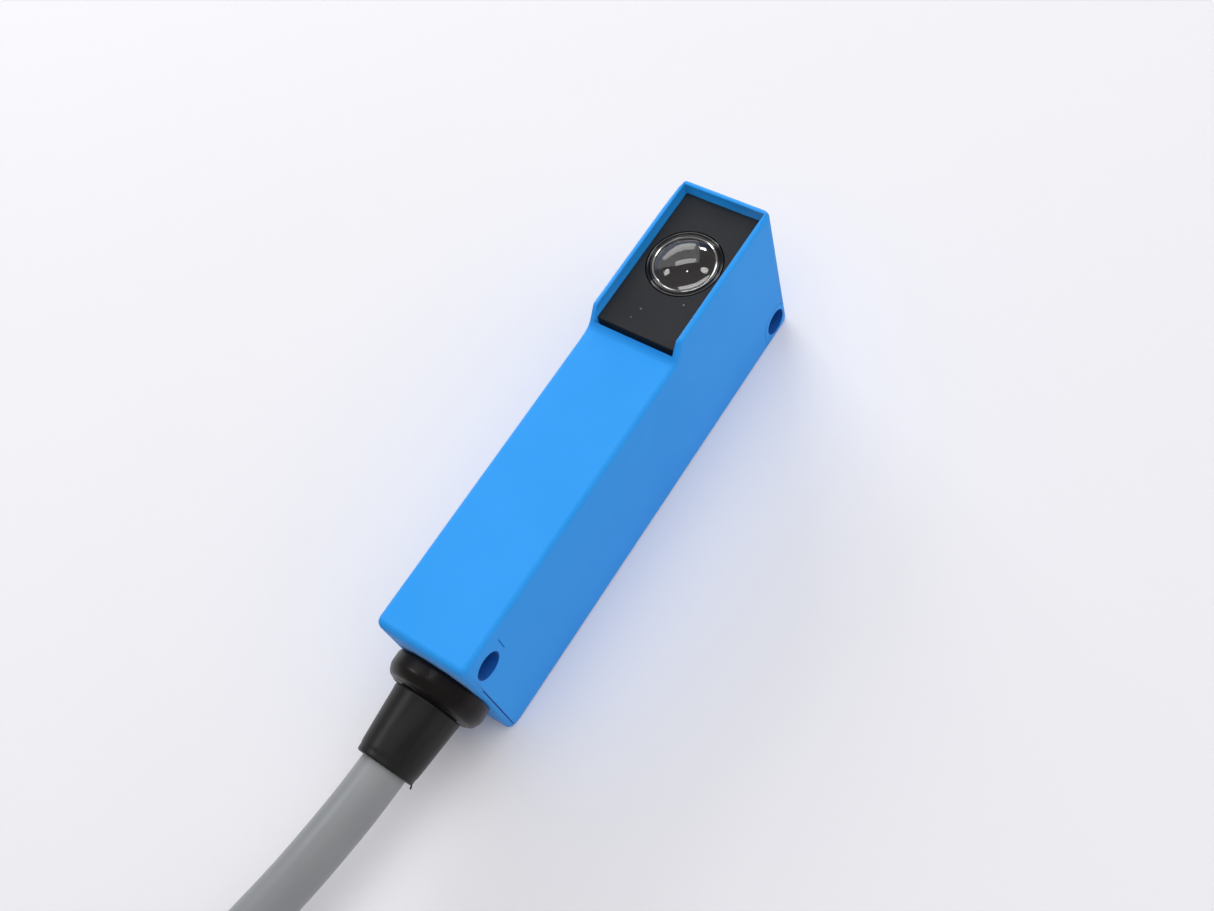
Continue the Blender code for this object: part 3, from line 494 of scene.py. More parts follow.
def paper_floor(name, colour, painted_shade_colour, reach):
    """Seamless pale paper with painted light and shade: its colour drifts along X from one to the
    other within a reach.
    """
    made = Finish(name)
    where = made.node("ShaderNodeTexCoord", output="Object")
    across = made.node("ShaderNodeSeparateXYZ", values={"Vector": where}, output="X")
    # Painted light and shade: lighter towards -X, darker towards +X
    painted_falloff = made.spread(across, -reach, reach)
    fibre = made.noise(0.0009, 3.0)
    return made.feed(
        Base_Color=made.blend(painted_falloff, colour, painted_shade_colour),
        Roughness=0.85 + fibre * 0.1,
        Normal=made.bump(fibre, 0.00001),
        Specular_IOR_Level=0.15,
    )


# Mesh helpers

MERGE_DISTANCE = 0.0000008
FLAT_WITHIN = math.radians(0.4)


def finished(obj, body=BODY, replaces=()):
    """Rides a made piece on its body and hides what it stands for."""
    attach(obj, body)
    if replaces:
        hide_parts(*replaces)
    return obj


def new_piece(name, mesh, material):
    obj = bpy.data.objects.new(name, mesh)
    bpy.context.scene.collection.objects.link(obj)
    mesh.materials.clear()
    mesh.materials.append(material)
    return obj


def mesh_from(name, shape):
    mesh = bpy.data.meshes.new(name)
    shape.to_mesh(mesh)
    shape.free()
    return mesh


def smooth(mesh, degrees=32):
    mesh.shade_smooth()
    mesh.set_sharp_from_angle(angle=math.radians(degrees))


def detailed_copy(node, name, material):
    """A merged copy of a frame node, smooth where it curves and flat where it is flat."""
    shape = bmesh.new()
    shape.from_mesh(bpy.data.objects[node].data)
    bmesh.ops.remove_doubles(shape, verts=shape.verts, dist=MERGE_DISTANCE)
    bmesh.ops.dissolve_limit(shape, angle_limit=FLAT_WITHIN, verts=shape.verts, edges=shape.edges)
    bmesh.ops.triangulate(shape, faces=shape.faces)
    mesh = mesh_from(name, shape)
    smooth(mesh)
    obj = new_piece(name, mesh, material)
    weighted = obj.modifiers.new("flat faces first", "WEIGHTED_NORMAL")
    weighted.keep_sharp = True
    weighted.weight = 100
    return obj


def dressed_copy(node, name, material, body=BODY):
    """A node's detailed copy, which rides in its place."""
    return finished(detailed_copy(node, name, material), body, (node,))


def spokes(count):
    """Points of a circle of radius 1, evenly spaced."""
    angles = [math.tau * k / count for k in range(count)]
    return [(math.cos(a), math.sin(a)) for a in angles]


def bridge(shape, ring, following):
    """Faces between two rings of points. Either may be a single point."""
    sides = max(len(ring), len(following))
    faces = []
    for k in range(sides):
        j = (k + 1) % sides
        face = [ring[k % len(ring)], ring[j % len(ring)]]
        face += [following[j % len(following)], following[k % len(following)]]
        faces.append(shape.faces.new(list(dict.fromkeys(face))))
    return faces


def turned_mesh(name, profile, centre, axis, sides):
    """A profile of radii and heights spun round an axis, closed and facing outwards."""
    turn = {"Z": Matrix(), "Y": Matrix.Rotation(-math.pi / 2, 4, "X")}[axis]
    place = Matrix.Translation(centre) @ turn
    shape = bmesh.new()
    rings = []
    for radius, height in profile:
        spots = spokes(sides) if radius > 0 else [(0.0, 0.0)]
        points = [place @ Vector((radius * x, radius * y, height)) for x, y in spots]
        rings.append([shape.verts.new(point) for point in points])
    if profile[0][0] > 0:
        rings.append(rings[0])
    for ring, following in zip(rings, rings[1:]):
        bridge(shape, ring, following)
    bmesh.ops.recalc_face_normals(shape, faces=shape.faces)
    return mesh_from(name, shape)


def turned_piece(name, profile, centre, axis, sides, material, degrees=40):
    mesh = turned_mesh(name, profile, centre, axis, sides)
    smooth(mesh, degrees)
    return new_piece(name, mesh, material)


def rounded_profile(corners, radius, steps=5):
    """Rounds each marked corner of a profile. A corner is (radius, height, rounding share)."""
    made = []
    count = len(corners)
    for i, (x, z, share) in enumerate(corners):
        here = Vector((x, z))
        reach = radius * share
        if not reach:
            made.append((x, z))
            continue
        before = Vector(corners[(i - 1) % count][:2]) - here
        after = Vector(corners[(i + 1) % count][:2]) - here
        start = here + before.normalized() * min(reach, before.length * 0.49)
        end = here + after.normalized() * min(reach, after.length * 0.49)
        for k in range(steps + 1):
            t = k / steps
            point = (1 - t) ** 2 * start + 2 * t * (1 - t) * here + t**2 * end
            made.append((point.x, point.y))
    return made


# A tube's end ring by ring: how far in from the end, and how far in from the side
TUBE_END = [(0.0, 1.0), (0.3, 0.3), (1.0, 0.0)]


def tube_mesh(name, path, radius, sides, ends=0.15):
    """A round tube along a path, with softly rounded ends and a map of length and girth."""
    shape = bmesh.new()
    layer = shape.loops.layers.uv.new("sheath")
    points = [Vector(p) for p in path]
    last = len(points) - 1
    side = (points[1] - points[0]).normalized().cross(Vector((0, 0, 1))).normalized()
    round_off = radius * ends
    along = 0.0
    rings = []
    for i, point in enumerate(points):
        ahead = (points[min(i + 1, last)] - points[max(i - 1, 0)]).normalized()
        side = (side - ahead * side.dot(ahead)).normalized()
        up = side.cross(ahead)
        along += (point - points[max(i - 1, 0)]).length
        steps = TUBE_END if i == 0 else [(0.0, 0.0)]
        if i == last:
            steps = [(-inward, off) for inward, off in reversed(TUBE_END)]
        for shift, off in steps:
            centre = point + ahead * round_off * shift
            size = radius - round_off * off
            circle = [centre + (side * x + up * y) * size for x, y in spokes(sides)]
            rings.append(([shape.verts.new(spot) for spot in circle], along))
    for (ring, start), (following, end) in zip(rings, rings[1:]):
        for k, face in enumerate(bridge(shape, ring, following)):
            corners = ((start, k), (start, k + 1), (end, k + 1), (end, k))
            for loop, (length, step) in zip(face.loops, corners):
                loop[layer].uv = (length, step / sides)
    for ring, along in (rings[0], rings[-1]):
        face = shape.faces.new(ring if along else ring[::-1])
        for loop in face.loops:
            loop[layer].uv = (along, 0.0)
    bmesh.ops.recalc_face_normals(shape, faces=shape.faces)
    mesh = mesh_from(name, shape)
    smooth(mesh, 50)
    return mesh


def smooth_path(points, spacing):
    """Points about a spacing apart on a smooth curve through the route's own points."""
    knots = [Vector(p) for p in points]
    ends = [2 * knots[0] - knots[1], *knots, 2 * knots[-1] - knots[-2]]
    path = []
    for before, start, end, after in zip(ends, ends[1:], ends[2:], ends[3:]):
        steps = max(1, round((end - start).length / spacing))
        for i in range(steps):
            t = i / steps
            bend = (
                2 * start
                + (end - before) * t
                + (2 * before - 5 * start + 4 * end - after) * t**2
                + (3 * start - before - 3 * end + after) * t**3
            )
            path.append(0.5 * bend)
    path.append(knots[-1])
    return path


def ease(share):
    share = min(1.0, max(0.0, share))
    return share * share * (3 - 2 * share)


# Geometry Nodes helpers


class Recipe(Tree):
    """A Geometry Nodes tree under construction, with named inputs for its sizes."""

    def __init__(self, name):
        super().__init__(bpy.data.node_groups.new(name, "GeometryNodeTree"))
        self.tree.interface.new_socket(
            "Geometry", in_out="OUTPUT", socket_type="NodeSocketGeometry"
        )
        self.start = self.tree.nodes.new("NodeGroupInput")
        self.sizes = {}

    def size(self, name, default):
        """Adds a named input, which is whole if its default is."""
        kind = "NodeSocketInt" if isinstance(default, int) else "NodeSocketFloat"
        item = self.tree.interface.new_socket(name, in_out="INPUT", socket_type=kind)
        item.default_value = default
        self.sizes[name] = item.identifier
        return Socket(self.tree, self.start.outputs[name])

    def along(self, axis, length):
        """A vector along one axis."""
        return self.node("ShaderNodeCombineXYZ", values={axis: length})

    def row(self, count, axis, pitch):
        """Points in a row along an axis, a pitch apart."""
        values = {"Count": count, "Offset": self.along(axis, pitch)}
        return self.node("GeometryNodeMeshLine", {"mode": "OFFSET"}, values)

    def copies(self, points, shape, **more):
        """A shape on each of the points."""
        values = {"Points": points, "Instance": shape, **more}
        return self.node("GeometryNodeInstanceOnPoints", values=values)

    def swept(self, curve, radius, sides):
        """A round bar along a curve."""
        section = self.node(
            "GeometryNodeCurvePrimitiveCircle", values={"Resolution": sides, "Radius": radius}
        )
        values = {"Curve": curve, "Profile Curve": section, "Fill Caps": True}
        return self.node("GeometryNodeCurveToMesh", values=values)

    def real(self, geometry):
        return self.node("GeometryNodeRealizeInstances", values={"Geometry": geometry})

    def finish(self, geometry, material):
        """Realizes the instances, sets the material and joins the tree's output."""
        values = {"Geometry": self.real(geometry), "Material": material}
        coated = self.node("GeometryNodeSetMaterial", values=values)
        out = self.tree.nodes.new("NodeGroupOutput")
        self.tree.links.new(coated.output, out.inputs[0])

    def make(self, name, material, values):
        """The tree's result as a plain mesh piece."""
        holder = bpy.data.objects.new(name, bpy.data.meshes.new(name))
        bpy.context.scene.collection.objects.link(holder)
        modifier = holder.modifiers.new("recipe", "NODES")
        modifier.node_group = self.tree
        for key, value in values.items():
            modifier[self.sizes[key]] = value
        bpy.context.view_layer.update()
        graph = bpy.context.evaluated_depsgraph_get()
        mesh = bpy.data.meshes.new_from_object(holder.evaluated_get(graph))
        holder.modifiers.remove(modifier)
        bpy.data.objects.remove(holder, do_unlink=True)
        return new_piece(name, mesh, material)


# Sizes and colours that a user would change


class StageSettings(bpy.types.PropertyGroup):
    """The floor, the lights and the camera."""

    floor_colour: bpy.props.FloatVectorProperty(
        name="Floor",
        description="Colour of the pale floor",
        subtype="COLOR",
        default=(0.87, 0.875, 0.935),
    )
    floor_size: bpy.props.FloatProperty(
        name="Floor size", description="Side of the floor", default=2.4, unit="LENGTH"
    )
    light_level: bpy.props.FloatProperty(
        name="Light", description="Strength of every lamp together", default=1.0, min=0.0
    )
    surround: bpy.props.FloatProperty(
        name="Surround", description="Strength of the even light all round", default=0.33, min=0.0
    )
    lens: bpy.props.FloatProperty(
        name="Lens", description="Camera lens, on a 36 mm wide sensor", default=38.55, unit="CAMERA"
    )


class BodySettings(bpy.types.PropertyGroup):
    """The housing, the panel and the optics."""

    blue: bpy.props.FloatVectorProperty(
        name="Blue", description="Housing colour", subtype="COLOR", default=(0.004, 0.335, 0.955)
    )
    blue_gloss: bpy.props.FloatProperty(
        name="Roughness", description="Roughness of the housing", default=0.72, min=0.0, max=1.0
    )
    panel: bpy.props.FloatVectorProperty(
        name="Panel", description="Panel colour", subtype="COLOR", default=(0.011, 0.0135, 0.017)
    )
    dust: bpy.props.FloatProperty(
        name="Dust", description="How pale the dust specks are", default=0.35, min=0.0, max=1.0
    )
    lens_curve: bpy.props.FloatProperty(
        name="Dome radius", description="Radius of the lens dome", default=0.006, unit="LENGTH"
    )


class CordSettings(bpy.types.PropertyGroup):
    """The cable, its boot and its hank."""

    sheath: bpy.props.FloatVectorProperty(
        name="Sheath", description="Cable colour", subtype="COLOR", default=(0.245, 0.26, 0.277)
    )
    diameter: bpy.props.FloatProperty(
        name="Diameter", description="Diameter of the cable", default=0.0054, unit="LENGTH"
    )
    core_diameter: bpy.props.FloatProperty(
        name="Core", description="Diameter of each insulated wire", default=0.00125, unit="LENGTH"
    )
    rubber: bpy.props.FloatVectorProperty(
        name="Rubber", description="Boot colour", subtype="COLOR", default=(0.004, 0.004, 0.004)
    )


# Cord


def fold_sizes(diameter):
    """The middle radius of the folds, and the length of the straight runs."""
    outer = (HANK_HIGH.x - HANK_LOW.x) / 2
    middle = outer - HANK_COLUMNS * diameter / 2
    return middle, HANK_HIGH.y - HANK_LOW.y - 2 * outer


def hank_point(travel, radius, height, diameter):
    """A point of the winding, so many quarter turns along it, at a radius about the folds."""
    _, run = fold_sizes(diameter)
    near = HANK_CENTRE.y + run / 2
    far = HANK_CENTRE.y - run / 2
    quarter, share = int(travel) % 4, travel % 1
    if quarter == 0:
        return Vector((HANK_CENTRE.x - radius, near - run * share, height))
    if quarter == 2:
        return Vector((HANK_CENTRE.x + radius, far + run * share, height))
    fold, start = (far, math.pi) if quarter == 1 else (near, 0.0)
    turn = start + math.pi * share
    return Vector((HANK_CENTRE.x + radius * math.cos(turn), fold + radius * math.sin(turn), height))


def hank_place(travel, diameter):
    """Radius and height of the winding, so many quarter turns along it."""
    middle, _ = fold_sizes(diameter)
    lowest = HANK_LOW.z + diameter / 2
    places = []
    for layer in range(HANK_LAYERS):
        columns = range(HANK_COLUMNS) if layer % 2 else range(HANK_COLUMNS - 1, -1, -1)
        for column in columns:
            out = middle + (column - (HANK_COLUMNS - 1) / 2) * diameter
            places.append((out, lowest + layer * diameter))
    radius, height = places[0]
    for k in range(1, len(places)):
        start, end = CROSSING if k % HANK_COLUMNS else CLIMB
        share = ease((travel - (4 * k + start)) / (end - start))
        radius += (places[k][0] - places[k - 1][0]) * share
        height += (places[k][1] - places[k - 1][1]) * share
    # The last turn rolls up into the groove over the two columns
    over = ease(travel - 4 * (len(places) - 1)) * math.pi / 3
    radius += diameter * (1 - math.cos(over))
    height += diameter * math.sin(over)
    return radius, height


def winding_point(travel, diameter):
    """The point of the winding so many quarter turns along it."""
    return hank_point(travel, *hank_place(travel, diameter), diameter)


def cord_path(diameter):
    start = BOOT_LOW.y - CORD_GAP
    route = [(0.0, start + CORD_IN_BOOT, GLAND_CENTRE.z)]
    route += [(x, start - away, z) for x, away, z in ROUTE]
    winding = []
    for quarter in range(math.ceil(LAST_QUARTER)):
        steps = FOLD_STEPS if quarter % 2 else RUN_STEPS
        travels = (quarter + i / steps for i in range(steps))
        winding += [winding_point(t, diameter) for t in travels if t < LAST_QUARTER]
    winding.append(winding_point(LAST_QUARTER, diameter))
    return smooth_path(route + winding[:2], CORD_STEP)[:-1] + winding[1:]


class SENSOR_OT_camera(bpy.types.Operator):
    """Adds the camera, looking down along the sensor from beside the cable end"""

    bl_idname = "sensor.camera"
    bl_label = "Camera"

    def execute(self, context):
        data = bpy.data.cameras.new("camera")
        data.sensor_width = 36.0
        data.lens = context.scene.sensor_stage.lens
        data.clip_start = 0.005
        camera = bpy.data.objects.new("camera", data)
        context.scene.collection.objects.link(camera)
        sides = (CAMERA_RIGHT, CAMERA_UP, CAMERA_RIGHT.cross(CAMERA_UP))
        turn = Matrix(sides).transposed().to_4x4()
        camera.matrix_world = Matrix.Translation(CAMERA_PLACE) @ turn
        context.scene.camera = camera
        return {"FINISHED"}


class SENSOR_OT_cord(bpy.types.Operator):
    """Folds the cable from the boot into its hank, with its tie and its bare wire ends"""

    bl_idname = "sensor.cord"
    bl_label = "Cable"

    def execute(self, context):
        settings = context.scene.sensor_cord
        diameter = settings.diameter
        path = cord_path(diameter)
        sheath = cable_sheath("cable_sheath", tuple(settings.sheath), 0.4)
        mesh = tube_mesh("connection_cable", path, diameter / 2, CORD_SIDES)
        cord = new_piece("connection_cable", mesh, sheath)
        finished(cord, replaces=("cable", "cable_hank", "cable_tail"))
        ends = self.wire_ends(settings)
        tie = self.tie(diameter)
        return {"FINISHED"}

    def wire_ends(self, settings):
        """The four wires out of the sheath, each with its stripped, twisted and tinned end."""
        core = settings.core_diameter
        diameter = settings.diameter
        rest = HANK_HIGH.z + core / 2 - LEAD_SINK
        middle, _ = fold_sizes(diameter)
        tail_height = hank_place(LAST_QUARTER, diameter)[1]
        tinned = bare_metal("tinned_copper", (0.62, 0.6, 0.56), 0.28)
        made = []
        for i, (core_name, colour) in enumerate(CORES.items()):
            across = CORE_OFFSET * (-1 if i < 2 else 1)
            above = CORE_OFFSET * (1 if i in (0, 3) else -1)
            fan = (i - 1.5) * LEAD_FAN
            # Along the tail, out from its middle line, and up
            stages = [
                (0.0003, across, tail_height + above),
                (0.0033, across + (fan - across) * 0.3, tail_height + above * 0.8),
                (0.0083, fan * 0.8, rest + 0.0005),
                (0.0133, fan, rest),
                (0.0223, fan * 1.1, rest),
            ]
            points = [
                hank_point(
                    LAST_QUARTER + along / (math.pi * middle), middle + out, height, diameter
                )
                for along, out, height in stages
            ]
            path = smooth_path(points, LEAD_STEP)
            cut = round(len(path) * LEAD_INSULATED)
            name, slot = f"lead_{i + 1}", f"{core_name}_insulation"
            mesh = tube_mesh(name, path[:cut], core / 2, LEAD_SIDES, ends=0.25)
            lead = new_piece(name, mesh, insulation(f"{slot}_finish", colour))
            made.append(finished(lead, replaces=(f"wire_end_{i + 1}",)))
            strands = self.strands(f"{name}_strands", path[cut - 2 :], core * 0.36, tinned)
            made.append(finished(strands))
        return made

    def strands(self, name, path, radius, material):
        """Six twisted strands along a wire's stripped end, laid by Geometry Nodes."""
        length = sum((b - a).length for a, b in zip(path, path[1:]))
        recipe = Recipe(name)
        count = recipe.size("Strands", 6)
        lay = recipe.size("Lay radius", radius * 0.62)
        thick = recipe.size("Strand radius", radius * 0.36)
        turns = recipe.size("Turns", 1.6)
        height = recipe.size("Length", length)
        sizes = {"Rotations": turns, "Start Radius": lay, "End Radius": lay, "Height": height}
        helix = recipe.node("GeometryNodeCurveSpiral", values={"Resolution": 14, **sizes})
        ring = recipe.node("GeometryNodeMeshCircle", values={"Vertices": count, "Radius": 1e-7})
        angle = recipe.node("GeometryNodeInputIndex") * (math.tau / count)
        placed = recipe.copies(ring, helix, Rotation=recipe.along("Z", angle))
        recipe.finish(recipe.swept(recipe.real(placed), thick, 7), material)
        piece = recipe.make(name, material, {"Length": length})
        lay_along(piece.data, path, length)
        smooth(piece.data, 50)
        return piece

    def tie(self, diameter):
        """A nylon cable tie round the left run: its strap, its head and its fine ribs."""
        nylon = satin_black("tie_nylon", (0.02, 0.02, 0.021), 0.42)
        half_width = (TIE_HIGH.y - TIE_LOW.y) / 2
        turns = turns_at_tie(diameter)
        middle_line = (diameter + STRAP_THICK) / 2 + STRAP_GAP
        loop = wrapped_loop(turns, middle_line)
        shape = bmesh.new()
        rings = []
        for i, (u, v) in enumerate(loop):
            along = (Vector(loop[(i + 1) % len(loop)]) - Vector(loop[i - 1])).normalized()
            out = Vector((along.y, -along.x))
            ring = []
            for side, lift in STRAP_SECTION:
                at = Vector((u, v)) + out * lift * STRAP_THICK / 2
                ring.append(shape.verts.new((at.x, TIE_CENTRE.y + side * half_width, at.y)))
            rings.append(ring)
        for ring, following in zip(rings, rings[1:] + rings[:1]):
            bridge(shape, ring, following)
        bmesh.ops.recalc_face_normals(shape, faces=shape.faces)
        mesh = mesh_from("tie_strap", shape)
        smooth(mesh, 40)
        strap = new_piece("tie_strap", mesh, nylon)
        finished(strap, replaces=("hank_tie",))
        above = middle_line + STRAP_THICK / 2 + TIE_HEAD[2] / 2 - TIE_HEAD_SINK
        head = self.tie_head(nylon, turns[-2], turns[-1], above)
        return [strap, head, self.tie_ribs(nylon)]

    def tie_head(self, material, left, right, above):
        """The tie's head: a block with a slot in it, on the strap's run over the top two turns."""
        shape = bmesh.new()
        bmesh.ops.create_cube(shape, size=1.0, matrix=Matrix.Diagonal((*TIE_HEAD, 1)))
        bmesh.ops.bevel(
            shape,
            geom=shape.edges[:],
            offset=TIE_HEAD_ROUNDING,
            segments=3,
            profile=0.6,
            affect="EDGES",
        )
        top_faces = [f for f in shape.faces if f.normal.z > 0.99 and f.calc_area() > 2e-6]
        bmesh.ops.inset_region(shape, faces=top_faces, thickness=TIE_SLOT_RIM)
        for face in top_faces:
            for vert in face.verts:
                vert.co.z -= TIE_SLOT_DEPTH
        run = (right - left).normalized()
        middle = (left + right) / 2 + Vector((-run.y, run.x)) * above
        tilt = Matrix.Rotation(-math.atan2(run.y, run.x), 4, "Y")
        place = Matrix.Translation((middle.x, TIE_CENTRE.y, middle.y)) @ tilt
        bmesh.ops.transform(shape, matrix=place, verts=shape.verts)
        mesh = mesh_from("tie_head", shape)
        smooth(mesh, 40)
        return finished(new_piece("tie_head", mesh, material))

    def tie_ribs(self, material):
        """The strap's fine cross ribs along its outer run, laid by Geometry Nodes."""
        recipe = Recipe("tie_ribs")
        count = recipe.size("Ribs", 16)
        pitch = recipe.size("Pitch", 0.0007)
        width = recipe.size("Rib width", 0.0026)
        start, end = recipe.along("Y", width * -0.5), recipe.along("Y", width * 0.5)
        rail = recipe.node("GeometryNodeCurvePrimitiveLine", values={"Start": start, "End": end})
        rib = recipe.swept(rail, TIE_RIB_RADIUS, 8)
        recipe.finish(recipe.copies(recipe.row(count, "Z", pitch), rib), material)
        piece = recipe.make("tie_ribs", material, {"Ribs": 16})
        start = Vector((TIE_LOW.x + 0.00002, TIE_CENTRE.y, TIE_CENTRE.z - TIE_RIBS_LOW))
        piece.data.transform(Matrix.Translation(start))
        smooth(piece.data, 50)
        return finished(piece)


def turns_at_tie(diameter):
    """Where the cable's turns pass through the tie, across and up."""
    _, run = fold_sizes(diameter)
    share = (HANK_CENTRE.y + run / 2 - TIE_CENTRE.y) / run
    return [winding_point(4 * k + share, diameter).xz for k in range(HANK_TURNS)]


def wrapped_loop(turns, radius):
    """The outline of a strap pulled tight round the turns, at a radius about each."""
    dots = []
    for turn in turns:
        dots += [turn + Vector(spoke) * radius for spoke in spokes(LOOP_STEPS)]
    return [tuple(dots[i]) for i in convex_hull_2d(dots)]


def lay_along(mesh, path, length):
    """Bends a mesh that stands along Z onto a path."""
    total = [0.0]
    for a, b in zip(path, path[1:]):
        total.append(total[-1] + (b - a).length)
    for vertex in mesh.vertices:
        travel = min(max(vertex.co.z / length, 0.0), 1.0) * total[-1]
        i = max(k for k in range(len(path) - 1) if total[k] <= travel + 1e-12)
        share = (travel - total[i]) / (total[i + 1] - total[i])
        ahead = (path[i + 1] - path[i]).normalized()
        side = ahead.cross(Vector((0, 0, 1))).normalized()
        up = side.cross(ahead)
        at = path[i].lerp(path[i + 1], share)
        extra = vertex.co.z - travel
        vertex.co = at + side * vertex.co.x + up * vertex.co.y + ahead * extra


# Body


class SENSOR_OT_housing(bpy.types.Operator):
    """Makes the blue housing and its rear cover"""

    bl_idname = "sensor.housing"
    bl_label = "Housing"

    def execute(self, context):
        settings = context.scene.sensor_body
        # The cross holes get painted shade inside them
        blue = moulded_plastic(
            "blue_plastic_finish", tuple(settings.blue), settings.blue_gloss, CROSS_HOLES
        )
        for node in ("housing", "rear_cover"):
            dressed_copy(node, f"{node}_shell", blue)
        return {"FINISHED"}


class SENSOR_OT_panel(bpy.types.Operator):
    """Makes the matte panel in the window"""

    bl_idname = "sensor.panel"
    bl_label = "Front panel"

    def execute(self, context):
        settings = context.scene.sensor_body
        black = panel_plastic("panel_plastic_finish", tuple(settings.panel), settings.dust)
        dressed_copy("front_panel", "window_panel", black)
        return {"FINISHED"}


class SENSOR_OT_optics(bpy.types.Operator):
    """Makes the domed lens, its ring, and the dark barrel behind it"""

    bl_idname = "sensor.optics"
    bl_label = "Lens"

    def execute(self, context):
        settings = context.scene.sensor_body
        clear = clear_plastic("lens_plastic", (0.97, 0.98, 0.985))
        gloss = satin_black("ring_gloss", (0.003, 0.0032, 0.0035), 0.09, 0.0, 0.7)
        # Painted light: the barrel and the stop are painted lighter than their black plastic, for
        # the light that would come in through the lens
        dark = satin_black("barrel_black", (0.09, 0.082, 0.084), 0.4, brown=0.6)
        bright = polished_edge("lens_edge_plastic", (0.56, 0.56, 0.56))
        finished(self.lens(settings.lens_curve, clear), replaces=("lens",))
        finished(self.ring(gloss), replaces=("lens_ring",))
        finished(self.edge(bright))
        dressed_copy("lens_barrel", "barrel_wall", dark)
        dressed_copy("light_stop", "stop_plate", dark)
        return {"FINISHED"}

    def lens(self, curve, material):
        """The lens body: dome, short rim, flange and flat back."""
        flange = (LENS_HIGH.x - LENS_LOW.x) / 2
        radius = RING_RADIUS - RING_WIDTH
        low = LENS_LOW.z
        flange_top = RING_LOW.z - FIT_GAP
        drop = math.sqrt(curve**2 - radius**2)
        rim_top = LENS_HIGH.z - (curve - drop)
        edge = math.asin(radius / curve)
        profile = []
        for i in range(DOME_STEPS):
            a = edge * i / DOME_STEPS
            profile.append((curve * math.sin(a), rim_top - drop + curve * math.cos(a)))
        profile += [
            (radius - LENS_BEVEL, rim_top + LENS_BEVEL / 2),
            (radius, rim_top - LENS_BEVEL),
            (radius, flange_top),
            (flange, flange_top),
            (flange, low),
            (0.0, low),
        ]
        return turned_piece("dome_lens", profile, LENS_AXIS, "Z", ROUND_SIDES, material, 30)

    def edge(self, material):
        """The lens's polished edge inside the ring, which throws back the far side's light."""
        outer = RING_RADIUS - RING_WIDTH + LENS_EDGE_WIDTH / 3
        inner = outer - LENS_EDGE_WIDTH
        high = RING_HIGH.z + 0.00001
        profile = [
            (inner, high - 0.00009),
            ((inner + outer) / 2, high - 0.000035),
            (outer, high),
            (outer, high - 0.00008),
            (inner, high - 0.00012),
        ]
        mesh = turned_mesh("lens_edge", profile, LENS_AXIS, "Z", ROUND_SIDES)
        shift = bearing(LENS_EDGE_SHIFT, 0.0) * LENS_EDGE_WIDTH / 4
        for vertex in mesh.vertices:
            if (vertex.co.xy - LENS_AXIS.xy).length < inner + 0.00002:
                vertex.co += shift
        smooth(mesh, 40)
        return new_piece("lens_edge", mesh, material)

    def ring(self, material):
        """The retaining ring: rounded outer lip, a fine inner line and a sloping inside."""
        outer = RING_RADIUS
        inner = outer - RING_WIDTH + FIT_GAP
        low = RING_LOW.z
        high = RING_HIGH.z
        corners = [
            (inner, high - 0.0001, 0.3),
            (inner + 0.00009, high - 0.0001, 0.3),
            (inner + 0.00009, high, 0.6),
            (inner + 0.00024, high, 1.0),
            (inner + 0.00029, high - 0.00009, 0.6),
            (outer - 0.00028, high - 0.00021, 0.8),
            (outer - 0.00023, high - 0.00006, 1.1),
            (outer - 0.00005, high - 0.00006, 1.1),
            (outer - 0.00005, low + 0.0002, 0.5),
            (outer, low, 0.5),
            (inner, low, 0.5),
        ]
        profile = rounded_profile(corners, 0.00009)
        return turned_piece("retaining_ring", profile, LENS_AXIS, "Z", ROUND_SIDES, material)


